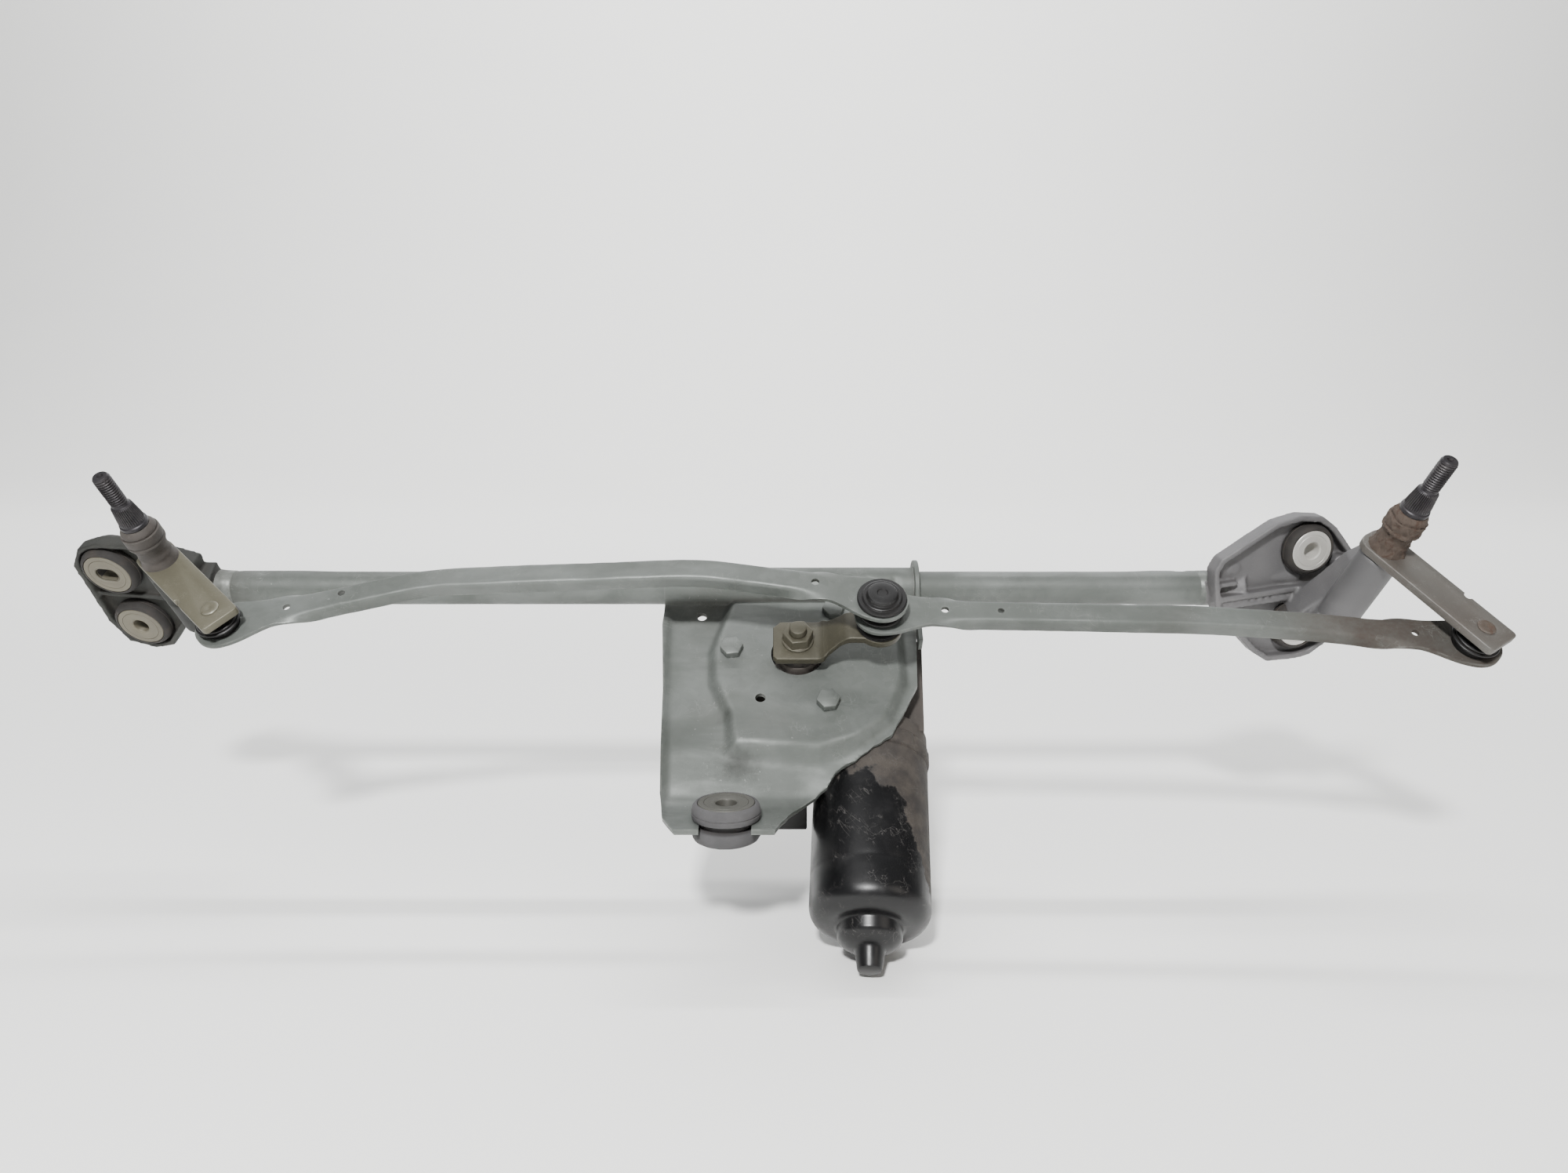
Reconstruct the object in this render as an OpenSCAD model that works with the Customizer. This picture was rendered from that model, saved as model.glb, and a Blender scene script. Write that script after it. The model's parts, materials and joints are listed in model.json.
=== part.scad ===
// Windshield wiper linkage with its gear motor, in millimetres.
// Parts are drawn in the linkage's own frame: the crank shaft is the Z axis, the cross tube
// runs along X, and Z = 0 is the face of the bracket that the gear motor bolts against.
// mech() turns that frame so that +Z is the axis of the lower mount and the origin is its centre.

/* [Lower mount] */
// Lean of the crank shaft away from the lower mount's axis, degrees
shaft_lean = 40; // [40:1:40]
// Outer diameter of the lower grommet
lower_grommet_d = 31; // [30:0.5:32]
// Height of every grommet, which is also its sleeve's length
grommet_h = 17; // [16:0.5:18]
// Bolt hole radius of the lower sleeve
lower_hole_r = 4.5; // [4:0.1:5]

/* [End mounts] */
// Outer diameter of the two left grommets
left_grommet_d = 30; // [29:0.5:30]
// Outer diameter of the two right grommets
right_grommet_d = 27; // [26:0.5:28]
// Bolt hole radius of the end sleeves
end_hole_r = 4; // [3.5:0.1:4.2]
// Extra length of the left upper sleeve's slot
slot_extra = 4; // [3:0.5:5]

/* [Cross tube] */
// Outer diameter of the cross tube
tube_d = 18; // [17:0.5:18]
// Wall of the cross tube
tube_wall = 1.5; // [1.2:0.1:2]
// Left end of the cross tube
tube_left = -292; // [-294:1:-290]
// Right end of the cross tube
tube_right = 208; // [206:1:210]

/* [Bracket] */
// Sheet thickness of the motor bracket
sheet = 2.5; // [2:0.1:2.5]
// Radius of the hole that the crank shaft's hub comes through
hub_hole_r = 13; // [12.5:0.1:13.5]
// Radius of the circle that the three motor bolts stand on
bolt_circle_r = 32.5; // [32:0.1:33]

/* [Crank] */
// Crank radius, from the shaft to the rods' ball pin
crank_r = 38.7; // [38.7:0.1:38.7]
// Thickness of the crank arm
arm_t = 4; // [3.5:0.1:4]

/* [Rods] */
// Width of the channel section of both rods
rod_w = 13; // [12:0.5:13]
// Depth of the channel's flanges, measured with the sheet
rod_depth = 7.5; // [6:0.5:8]
// Sheet of the rods
rod_sheet = 2; // [1.6:0.1:2]
// Radius of the balls in the rods' sockets
ball_r = 5; // [4.5:0.1:5]

/* [Spindles] */
// Lean of the left spindle, degrees outwards
left_lean = 4.7; // [4.7:0.1:4.7]
// Lean of the right spindle, degrees outwards
right_lean = 5.6; // [5.6:0.1:5.6]
// Radius of the threaded end that takes the wiper arm's nut
spindle_end_r = 4; // [3.9:0.1:4.1]
// Length of the threaded end
spindle_end_l = 18; // [17:0.5:18]

/* [Gear] */
// Teeth of the worm wheel
wheel_teeth = 65; // [65:1:65]
// Module of the worm gear
gear_module = 1; // [1:0.1:1]
// Radius at the middle of the worm's thread
worm_r = 5.5; // [5.5:0.1:5.5]

/* [Hidden] */
$fn = 64;

gap = 0.3;               // free space between pieces that move past each other
run = 0.05;              // radial clearance of a shaft in its bush
over = 1;                // how far a cutter runs past the face it opens

// Lower mount
lower_centre = [-32, -91.5, -0.9];
groove_r = 11.5;         // bottom of the groove that the sheet or casting sits in
groove_w = 3.2;
sleeve_wall = 1.5;
disc_t = 1.2;

// End mounts: front face centre, tilt and yaw of each pair's axis
left_tilt = 84;
left_yaw = -6.4;
left_upper_face = [-356, 48, 4];
left_pair = [3.4, -37.2, 0];       // from the upper grommet to the lower, in their own frame
right_tilt = 61.4;
right_yaw = 11;
right_upper_face = [261, 50, 20];
right_pair = [-4.8, -40.9, 0];

// Cross tube
tube_y = 47;
tube_z = -5;
tube_r = tube_d / 2;

// Bracket, seen along the crank shaft
plate_left = -68;
plate_right = 60;
pan_drop = 5;            // how far the sheet lies behind the motor pan
foot_fold_y = -78;       // where the sheet folds up into the mount's foot
foot_fold_z = -10.6;
pan_low_y = -52;
bracket_ring_x = 60;
bracket_ring_r = tube_r + 5.5;
bolt_angles = [56, 176, 296];
bolt_r = 3;
bolt_af = 10;
bolt_head_h = 4;

// Motor and gearbox
motor_yaw = -3.1;
worm_z = -35;
wheel_r = wheel_teeth * gear_module / 2;
centre_dist = wheel_r + worm_r;
thread_pitch = PI * gear_module;
yoke_r = 27.5;
yoke_wall = 2;
seam_y = -34;
yoke_end_y = -124;
boss_r = 14.6;
nose_r = 5.5;
nose_end_y = -143.5;
chamber_r = 37;
cavity_r = 34.6;
chamber_top = -24;
chamber_floor = -27;
chamber_back = -45;
cover_t = 2;
screw_angles = [75, 135, 195, 255];
cover_ear_r = 40;
connector_low = [10, 30, -16];
connector_high = [36, 50, 4];
hub_r = 11;
hub_top = 2;
hub_bore_r = 8;
shaft_r = 5;
armature_r = 19.5;
motor_shaft_r = 4;
commutator_r = 10;

// Crank, along its own height
arm_low_z = 6.5;
arm_high_z = 18.4;
nut_af = 13;
nut_h = 6.5;
shaft_thread_r = 4;
right_ball_z = 28.5;
left_ball_z = 38.5;
neck_r = 3.2;
socket_r = 8.4;
socket_h = 7.6;
eye_r = 12.5;
eye_hole_r = 9.6;
eye_t = 2.2;

// Spindles: hub on the lever's upper face
left_hub = [-308.7, 30, 36.2];
right_hub = [274.9, 20.8, 54.5];
lever_t = 4;
left_lever_r = 49.5;
left_lever_angle = -43;
right_lever_r = 54.4;
right_lever_angle = -57.7;
spindle_r = 5;
bearing_r = 9.5;
left_bearing_l = 42;
right_bearing_l = 46;
bush_r = 7;
sleeve_h = 24;
stud_drop = 13.2;        // ball centre below the lever's upper face, left
right_stud_drop = 13;

// Routes of the rods' upper faces: the eyes' centres and the bends between them
rod_flat_y = 22.3;
left_route = [
    [38.7, 0, 41], [8, 11, 41], [-46, 21, 40.5], [-178, 19.6, 34.6],
    [-243, 5.5, 29], [-271.4, -3.8, 27]
];
right_route = [
    [38.7, 0, 31.5], [69, 1, 32.5], [186, -5, 36.5], [245, -12, 38.6], [280, -18.5, 39.6],
    [303.4, -24.7, 39.7]
];

// ---------------------------------------------------------------- helpers

module mech() {
    rotate([shaft_lean, 0, 0]) translate(-lower_centre) children();
}

// Frame of a pair of end mounts: z along the bolt, out of the front face
module end_frame(face, yaw, tilt) {
    mech() translate(face) rotate([0, 0, yaw]) rotate([tilt, 0, 0]) children();
}
module left_frame() {
    end_frame(left_upper_face, left_yaw, left_tilt) children();
}
module right_frame() {
    end_frame(right_upper_face, right_yaw, right_tilt) children();
}

// Frame of the motor: y along its shaft towards the gearbox, origin where the worm meets the wheel
module motor_frame() {
    mech() rotate([0, 0, motor_yaw]) translate([centre_dist, 0, worm_z]) children();
}

// Frame of a spindle: z along it, origin on the lever's upper face
module left_spindle_frame() {
    mech() translate(left_hub) rotate([0, -left_lean, 0]) children();
}
module right_spindle_frame() {
    mech() translate(right_hub) rotate([0, right_lean, 0]) children();
}

module ring(r_out, r_in, h) {
    difference() {
        cylinder(r = r_out, h = h);
        translate([0, 0, -over]) cylinder(r = r_in, h = h + 2 * over);
    }
}

module hexagon(across_flats, h) {
    cylinder(r = across_flats / sqrt(3), h = h, $fn = 6);
}

// Flat bar along x with rounded corners
module bar(x_low, x_high, w, corner_low, corner_high) {
    union() {
        translate([x_low + corner_low, -w / 2])
            square([x_high - corner_high - x_low - corner_low, w]);
        translate([x_low, -w / 2 + corner_low])
            square([corner_low, w - 2 * corner_low]);
        translate([x_high - corner_high, -w / 2 + corner_high])
            square([corner_high, w - 2 * corner_high]);
        for (side = [-1, 1]) {
            translate([x_low + corner_low, side * (w / 2 - corner_low)]) circle(r = corner_low);
            translate([x_high - corner_high, side * (w / 2 - corner_high)])
                circle(r = corner_high);
        }
    }
}

// ---------------------------------------------------------------- mounts

// Rubber grommet from z = 0 (front face) back to z = -grommet_h, with a groove at half height
module grommet(d, hole_r, slot = 0) {
    r = d / 2;
    soft = 2;
    difference() {
        translate([0, 0, -grommet_h / 2]) rotate_extrude() union() {
            for (side = [-1, 1]) {
                translate([0, side > 0 ? groove_w / 2 : -grommet_h / 2])
                    square([r - soft, grommet_h / 2 - groove_w / 2]);
                translate([0, side > 0 ? groove_w / 2 : -grommet_h / 2 + soft])
                    square([r, grommet_h / 2 - groove_w / 2 - soft]);
                translate([r - soft, side * (grommet_h / 2 - soft)]) circle(r = soft, $fn = 24);
            }
            translate([0, -grommet_h / 2]) square([groove_r, grommet_h]);
        }
        sleeve_space(hole_r + sleeve_wall + gap / 3, slot);
        translate([0, 0, -disc_t - gap / 3]) cylinder(r = disc_r(d) + gap / 3, h = grommet_h);
    }
}

function disc_r(d) = d / 2 - 3;

module sleeve_space(r, slot) {
    translate([0, 0, -grommet_h - over]) {
        if (slot == 0) cylinder(r = r, h = grommet_h + 2 * over);
        else {
            for (side = [-1, 1])
                translate([side * slot / 2, 0, 0]) cylinder(r = r, h = grommet_h + 2 * over);
            translate([-slot / 2, -r, 0]) cube([slot, 2 * r, grommet_h + 2 * over]);
        }
    }
}

// Metal sleeve inside a grommet: a flanged tube that the bolt clamps on
module sleeve(d, hole_r, slot = 0) {
    difference() {
        union() {
            intersection() {
                sleeve_space(hole_r + sleeve_wall, slot);
                translate([-d, -d, -grommet_h]) cube([2 * d, 2 * d, grommet_h]);
            }
            translate([0, 0, -disc_t]) cylinder(r = disc_r(d), h = disc_t);
        }
        sleeve_space(hole_r, slot);
    }
}

module lower_frame() {
    translate([0, 0, grommet_h / 2]) children();
}
module lower_grommet() {
    color("dimgray") lower_frame() grommet(lower_grommet_d, lower_hole_r);
}
module lower_sleeve() {
    color("silver") lower_frame() sleeve(lower_grommet_d, lower_hole_r);
}
module left_upper_grommet() {
    color("#333333") left_frame() grommet(left_grommet_d, end_hole_r, slot_extra);
}
module left_upper_sleeve() {
    color("silver") left_frame() sleeve(left_grommet_d, end_hole_r, slot_extra);
}
module left_lower_grommet() {
    color("#333333") left_frame() translate(left_pair) grommet(left_grommet_d, end_hole_r);
}
module left_lower_sleeve() {
    color("silver") left_frame() translate(left_pair) sleeve(left_grommet_d, end_hole_r);
}
module right_upper_grommet() {
    color("#333333") right_frame() grommet(right_grommet_d, end_hole_r);
}
module right_upper_sleeve() {
    color("silver") right_frame() sleeve(right_grommet_d, end_hole_r);
}
module right_lower_grommet() {
    color("#333333") right_frame() translate(right_pair) grommet(right_grommet_d, end_hole_r);
}
module right_lower_sleeve() {
    color("silver") right_frame() translate(right_pair) sleeve(right_grommet_d, end_hole_r);
}

// ---------------------------------------------------------------- frame

module tube_solid(r, x_low, x_high) {
    translate([x_low, tube_y, tube_z]) rotate([0, 90, 0]) cylinder(r = r, h = x_high - x_low);
}

module cross_tube() {
    color("#9aa59f") mech() difference() {
        tube_solid(tube_r, tube_left, tube_right);
        tube_solid(tube_r - tube_wall, tube_left - over, tube_right + over);
    }
}

// The bracket's sheet, drawn as its section across X: tube saddle, plate, step and foot
module bracket_section(lift) {
    t = sheet;
    saddle_y = tube_y - tube_r - t;
    polygon([
        [saddle_y, lift], [saddle_y, lift - t],
        [pan_low_y, lift - t], [foot_fold_y - 1, foot_fold_z - t],
        [foot_fold_y - 24, foot_fold_z - t + 23 * tan(shaft_lean)],
        [foot_fold_y - 24 + t * sin(shaft_lean), foot_fold_z - t + 23 * tan(shaft_lean) + t * cos(shaft_lean)],
        [foot_fold_y, foot_fold_z], [pan_low_y, lift]
    ]);
}

module across(x_low, x_high) {
    translate([x_low, 0, 0]) rotate([90, 0, 90]) linear_extrude(height = x_high - x_low)
        children();
}

plate_points = [
    [-70, 46], [-65, -20], [-63, -74], [-60, -92], [-52, -106], [-44, -112], [-14, -112],
    [-9, -98], [-3, -86], [2, -80], [13, -70], [17, -63], [29, -55], [44, -44], [58, -16],
    [62, 17], [62, 46]
];
pan_points = [
    [-34, 36], [-38, 22], [-43, 4], [-42, -16], [-34, -34], [-32, -54], [10, -58],
    [28, -50], [43, -38], [52, -16], [52, 36]
];

module motor_bracket() {
    color("#a3aea6") mech() difference() {
        union() {
            // sheet outside the pan, one pan_drop lower
            difference() {
                intersection() {
                    across(plate_left - 4, plate_right + sheet) bracket_section(-pan_drop);
                    translate([0, 0, -60]) linear_extrude(height = 120) polygon(plate_points);
                }
                translate([0, 0, -60]) linear_extrude(height = 120) polygon(pan_points);
            }
            // pan that the motor bolts against, with its wall
            translate([0, 0, -sheet]) linear_extrude(height = sheet) polygon(pan_points);
            difference() {
                translate([0, 0, -pan_drop - sheet]) linear_extrude(height = pan_drop + sheet)
                    polygon(pan_points);
                translate([4, -9, -pan_drop - sheet - over]) scale(0.95)
                    linear_extrude(height = pan_drop + sheet + over) polygon(
                        [for (p = pan_points) p - [4, -9]]);
            }
            // saddle pressed round the front of the tube
            intersection() {
                difference() {
                    tube_solid(tube_r + sheet + gap / 3, plate_left, plate_right);
                    tube_solid(tube_r + gap / 3, plate_left - over, plate_right + over);
                }
                translate([plate_left - over, tube_y - 30, tube_z - 4])
                    cube([plate_right - plate_left + 2 * over, 34, 40]);
            }
            // turned-up right edge that ends in a ring round the tube
            difference() {
                union() {
                    tube_solid(bracket_ring_r, bracket_ring_x, bracket_ring_x + sheet);
                    translate([bracket_ring_x, 10, -pan_drop - sheet])
                        cube([sheet, tube_y - 10, 8]);
                }
                tube_solid(tube_r + gap / 3, bracket_ring_x - over, bracket_ring_x + sheet + over);
            }
            // rolled left edge
            translate([plate_left, tube_y - tube_r - sheet, -pan_drop - 1]) rotate([90, 0, 3])
                cylinder(r = 2, h = 107);
        }
        translate([0, 0, -20]) cylinder(r = hub_hole_r, h = 40);
        for (a = bolt_angles)
            rotate([0, 0, a]) translate([bolt_circle_r, 0, -20]) cylinder(r = bolt_r + gap, h = 40);
        translate([-17.9, -26.5, -20]) cylinder(r = 2.5, h = 40);
        translate([-48.5, 27.4, -20]) cylinder(r = 2.5, h = 40);
        // slot in the foot, open at the front, where the grommet's groove slides in
        translate(lower_centre) rotate([-shaft_lean, 0, 0]) {
            translate([0, 0, -8]) cylinder(r = groove_r + gap, h = 16);
            translate([-groove_r - gap + 1, -30, -8]) cube([2 * groove_r + 2 * gap - 2, 30, 16]);
        }
        motor_clear();
    }
}

// Space that the motor's yoke and gearbox take behind the bracket
module motor_clear() {
    rotate([0, 0, motor_yaw]) translate([centre_dist, 0, worm_z]) rotate([90, 0, 0])
        translate([0, 0, 20]) cylinder(r = yoke_r + 1, h = 130);
}

module bracket_bolts() {
    color("#b6bbb6") mech() for (a = bolt_angles)
        rotate([0, 0, a]) translate([bolt_circle_r, 0, 0]) {
            rotate([0, 0, 12]) hexagon(bolt_af, bolt_head_h);
            translate([0, 0, -14]) cylinder(r = bolt_r, h = 14.5);
        }
}

// Outline of the right casting in its end frame
right_outline = [
    [-50, -26], [-52, -4], [-19, 17], [6, 17], [24, -4], [26, -28], [12, -54], [-4, -60],
    [-20, -59], [-37, -42]
];
left_outline = [
    [-19, 2], [-12, 14], [0, 19], [22, 20], [50, 12], [50, -12], [30, -34], [16, -52],
    [4, -56], [-10, -52], [-16, -38]
];

// Casting: a floor that holds two grommets, and a rim that comes forward from it
module casting(outline, grommet_d, rim_h, pair) {
    wall = 3;
    back = -grommet_h / 2 - groove_w / 2 + gap / 3;
    floor_t = groove_w - 2 * gap / 3;
    middle = pair / 2;
    difference() {
        union() {
            difference() {
                translate([0, 0, back]) linear_extrude(height = rim_h) polygon(outline);
                translate([0, 0, back + floor_t]) linear_extrude(height = rim_h * 2)
                    offset(delta = -wall) polygon(outline);
            }
            translate([middle[0] - 22, middle[1] - wall / 2, back]) cube([44, wall, rim_h - 2]);
        }
        for (at = [[0, 0, 0], pair]) translate(at) {
            translate([0, 0, -30]) cylinder(r = groove_r + gap / 3, h = 60);
            translate([0, 0, back + floor_t]) cylinder(r = grommet_d / 2 + gap, h = 60);
        }
    }
}

// Room round a pair of grommets, on both sides of the casting's plate
module grommet_room(grommet_d, pair) {
    for (at = [[0, 0, 0], pair]) translate(at)
        translate([0, 0, -grommet_h]) cylinder(r = grommet_d / 2 + gap, h = 2 * grommet_h);
}

module bearing_tube(l) {
    translate([0, 0, -lever_t - gap - l]) ring(bearing_r, bush_r, l);
}

module bearing_bore(l) {
    translate([0, 0, -lever_t - gap - l - over]) cylinder(r = bush_r, h = l + 2 * over);
    translate([0, 0, -lever_t - gap - l - 20]) cylinder(r = bearing_r - 1, h = 20);
}

module left_housing() {
    color("#6f766f") difference() {
        union() {
            left_frame() casting(left_outline, left_grommet_d, 8, left_pair);
            left_spindle_frame() bearing_tube(left_bearing_l);
            // web from the casting to the bearing
            difference() {
                mech() translate([-322, 34, -14]) cube([22, 20, 22]);
                left_frame() grommet_room(left_grommet_d, left_pair);
            }
            // spigot pressed into the tube
            mech() {
                tube_solid(tube_r, -312, tube_left - gap / 3);
                tube_solid(tube_r - tube_wall - gap / 3, -312, tube_left + 18);
            }
        }
        left_spindle_frame() bearing_bore(left_bearing_l);
        // flat that the left rod passes at the far end of its stroke
        mech() translate([-318, rod_flat_y - 8, 11]) cube([24, 8, 17.5]);
    }
}

module right_housing() {
    color("#8d8a96") difference() {
        union() {
            right_frame() casting(right_outline, right_grommet_d, 8, right_pair);
            right_spindle_frame() bearing_tube(right_bearing_l);
            difference() {
                mech() translate([262, 26, -4]) rotate([0, 5.6, 0]) cube([14, 18, 34]);
                right_frame() grommet_room(right_grommet_d, right_pair);
            }
            mech() {
                tube_solid(tube_r, tube_right + gap / 3, 230);
                tube_solid(tube_r - tube_wall - gap / 3, tube_right - 18, 230);
            }
        }
        right_spindle_frame() bearing_bore(right_bearing_l);
    }
}

module spindle_bush(l) {
    translate([0, 0, -lever_t - gap - l]) ring(bush_r, spindle_r + run, l);
}
module left_bush() {
    color("#b08d57") left_spindle_frame() spindle_bush(left_bearing_l);
}
module right_bush() {
    color("#b08d57") right_spindle_frame() spindle_bush(right_bearing_l);
}

// ---------------------------------------------------------------- gearbox

module block(x_low, x_high, y_low, y_high, z_low, z_high) {
    translate([x_low, y_low, z_low]) cube([x_high - x_low, y_high - y_low, z_high - z_low]);
}

module gear_housing() {
    color("#7b736d") difference() {
        union() {
            mech() translate([0, 0, chamber_back])
                cylinder(r = chamber_r, h = chamber_top - chamber_back);
            mech() translate([0, 0, chamber_floor]) cylinder(r = hub_r, h = hub_top - chamber_floor);
            mech() for (a = bolt_angles) rotate([0, 0, a])
                translate([bolt_circle_r, 0, chamber_floor])
                    cylinder(r = 6.5, h = -sheet - chamber_floor);
            mech() for (a = screw_angles) rotate([0, 0, a])
                translate([cover_ear_r - 0.5, 0, chamber_back]) cylinder(r = 4.5, h = 12);
            motor_frame() {
                block(-22, 25, seam_y + 5, 26, chamber_back - worm_z + 0.5, 16);
                block(-36, -20, seam_y + 6.5, seam_y + 16, -9, 0);
                translate([0, seam_y, 0]) rotate([-90, 0, 0]) cylinder(r = yoke_r, h = 8);
            }
        }
        // wheel chamber, open at the back
        mech() translate([0, 0, chamber_back - over])
            cylinder(r = cavity_r, h = chamber_floor - chamber_back + over);
        mech() translate([0, 0, chamber_back - over]) cylinder(r = hub_bore_r, h = 60);
        mech() for (a = bolt_angles) rotate([0, 0, a])
            translate([bolt_circle_r, 0, -16]) cylinder(r = bolt_r + gap / 3, h = 20);
        motor_frame() {
            // tunnel for the worm, and the brush end
            translate([0, -19, 0]) rotate([-90, 0, 0]) cylinder(r = worm_r + 2, h = 42);
            translate([0, seam_y - over, 0]) rotate([-90, 0, 0])
                cylinder(r = yoke_r - 4, h = 5 + over);
            translate([0, seam_y, 0]) rotate([-90, 0, 0]) cylinder(r = 8, h = 20);
            translate([0, -60, 0]) rotate([-90, 0, 0])
                cylinder(r = yoke_r + 0.9 + gap / 3, h = 60 + seam_y);
            for (side = [-1, 1]) translate([0, seam_y - over, side * 25.6]) rotate([-90, 0, 0])
                cylinder(r = 1.5 + gap / 3, h = 8);
        }
        for (a = screw_angles) mech() rotate([0, 0, a])
            translate([cover_ear_r, 0, chamber_back - over]) cylinder(r = 1.6, h = 8);
    }
}

module gear_cover() {
    color("#3a3a3c") mech() difference() {
        union() {
            translate([0, 0, chamber_back - cover_t]) cylinder(r = chamber_r, h = cover_t);
            for (a = screw_angles) rotate([0, 0, a])
                translate([cover_ear_r - 0.5, 0, chamber_back - cover_t])
                    cylinder(r = 4.5, h = cover_t);
        }
        for (a = screw_angles) rotate([0, 0, a])
            translate([cover_ear_r, 0, chamber_back - cover_t - over])
                cylinder(r = 1.7, h = cover_t + 2 * over);
        // the motor's round end dips past the cover
        rotate([0, 0, motor_yaw]) translate([centre_dist, -60, worm_z]) rotate([-90, 0, 0])
            cylinder(r = yoke_r + 0.9 + gap / 3, h = 60 + seam_y + 8 + gap);
    }
}

module cover_screws() {
    color("#a8a8a8") mech() for (a = screw_angles) rotate([0, 0, a])
        translate([cover_ear_r, 0, chamber_back]) {
            translate([0, 0, -cover_t]) cylinder(r = 1.5, h = cover_t + 4);
            translate([0, 0, -cover_t - 2]) cylinder(r = 3, h = 2);
        }
}

// Plug socket beside the motor, square to the part's own axes, with its mouth towards -X
module connector() {
    wall = 2.5;
    low = connector_low;
    high = connector_high;
    color("#141414") difference() {
        union() {
            block(low[0], high[0], low[1], high[1], low[2], high[2]);
            motor_frame() block(-36, -yoke_r - 1.3, -52, seam_y + 6.4, -9, 0);
        }
        block(low[0] - over, high[0] - 6, low[1] + wall, high[1] - wall,
            low[2] + wall, high[2] - wall);
        mech() translate([0, 0, chamber_back - over])
            cylinder(r = chamber_r + gap / 3, h = chamber_top - chamber_back + 2 * over);
    }
}

module output_bush() {
    color("#b08d57") mech() translate([0, 0, chamber_floor])
        ring(hub_bore_r, shaft_r + run, hub_top - chamber_floor);
}

module shaft_seal() {
    color("#1c1a1a") mech() translate([0, 0, hub_top])
        ring(hub_r - 0.5, shaft_r + run, arm_low_z - gap - hub_top - 0.3);
}

// ---------------------------------------------------------------- motor

module along_motor(y) {
    motor_frame() translate([0, y, 0]) rotate([-90, 0, 0]) children();
}

module motor_yoke() {
    shoulder = 9;
    length = seam_y - yoke_end_y;
    color("#201e1f") along_motor(yoke_end_y) difference() {
        union() {
            translate([0, 0, shoulder]) cylinder(r = yoke_r, h = length - shoulder);
            cylinder(r = yoke_r - shoulder, h = shoulder + 1);
            translate([0, 0, shoulder]) rotate_extrude()
                translate([yoke_r - shoulder, 0]) intersection() {
                    circle(r = shoulder);
                    translate([0, -shoulder]) square([shoulder, shoulder + 1]);
                }
            translate([0, 0, length - 4]) cylinder(r = yoke_r + 0.9, h = 4);
            translate([0, 0, -6]) cylinder(r = boss_r, h = 7);
            translate([0, 0, -10]) cylinder(r1 = 7.2, r2 = boss_r, h = 4);
            translate([0, 0, nose_end_y - yoke_end_y])
                cylinder(r1 = nose_r, r2 = 7.2, h = yoke_end_y - nose_end_y - 10);
        }
        translate([0, 0, yoke_wall + 1]) cylinder(r = yoke_r - shoulder, h = length);
        translate([0, 0, shoulder]) cylinder(r = yoke_r - yoke_wall, h = length);
        translate([0, 0, -12]) cylinder(r = 6, h = 20);
        for (side = [-1, 1]) translate([0, side * 25.6, length - 3.2]) {
            cylinder(r = 1.6, h = 4);
            cylinder(r = 2.5, h = 1.5);
        }
    }
}

module yoke_screws() {
    color("#9a9a9a") along_motor(seam_y) for (side = [-1, 1])
        translate([0, side * 25.6, -1.8]) {
            cylinder(r = 1.5, h = 8);
            translate([0, 0, -1.2]) cylinder(r = 2.4, h = 1.2);
        }
}

module magnets() {
    outer = yoke_r - yoke_wall - gap / 3;
    color("#4a4a4d") along_motor(-112) intersection() {
        ring(outer, armature_r + 1, 62);
        union() for (side = [0, 180]) rotate([0, 0, side]) translate([5, 0, 0])
            linear_extrude(height = 62)
                polygon([[0, 0], [40, -40], [40, 40]]);
    }
}

module shaft_bearings() {
    color("#b08d57") {
        along_motor(-134) ring(6, motor_shaft_r + run, 8);
        along_motor(-27) ring(8, motor_shaft_r + run, 7);
    }
}

module brush_holder() {
    color("#5b4a32") along_motor(seam_y + 0.5) difference() {
        cylinder(r = yoke_r - 4.3, h = 3);
        translate([0, 0, -over]) cylinder(r = commutator_r + 1, h = 6);
        for (side = [-1, 1]) translate([0, side * 25.6, -over]) cylinder(r = 4, h = 6);
    }
}

module brushes() {
    color("#2b2b2b") along_motor(seam_y - 8) for (a = [0, 120, 240]) rotate([0, 0, a])
        translate([commutator_r + 0.2, -2.5, 0]) cube([8, 5, 8]);
}

module armature_shaft() {
    worm_l = 34;
    color("#c4c4c6") union() {
        along_motor(-133) cylinder(r = motor_shaft_r, h = 133 - worm_l / 2 + 0.5);
        along_motor(worm_l / 2 - 0.5) cylinder(r = motor_shaft_r, h = 5);
        motor_frame() rotate([-90, 0, 0]) worm_half(worm_l / 2, 1);
        motor_frame() rotate([-90, 0, 0]) worm_half(worm_l / 2, -1);
    }
}

// Single-start worm: a circle whose centre goes round the shaft once for each thread pitch
module worm_half(l, side) {
    throw = 1;
    turns = l / thread_pitch;
    mirror([0, 0, side > 0 ? 0 : 1])
        linear_extrude(height = l, twist = -side * turns * 360, slices = ceil(turns * 10),
            $fn = 14) translate([throw, 0]) circle(r = worm_r, $fn = 14);
}

module armature_core() {
    slots = 12;
    color("#77777c") along_motor(-106) difference() {
        ring(armature_r, motor_shaft_r, 50);
        for (i = [0 : slots - 1]) rotate([0, 0, i * 360 / slots])
            translate([armature_r - 6, -1, -over]) cube([8, 2, 50 + 2 * over]);
    }
}

module armature_windings() {
    color("#9c5a2b") for (y = [-114, -55.9]) along_motor(y) ring(16, motor_shaft_r + 3, 7.9);
}

module commutator() {
    bars = 12;
    color("#b87333") along_motor(-47) difference() {
        ring(commutator_r, motor_shaft_r, 14);
        for (i = [0 : bars - 1]) rotate([0, 0, i * 360 / bars + 15])
            translate([commutator_r - 1, -0.3, -over]) cube([2, 0.6, 14 + 2 * over]);
    }
}

// ---------------------------------------------------------------- crank

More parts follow.
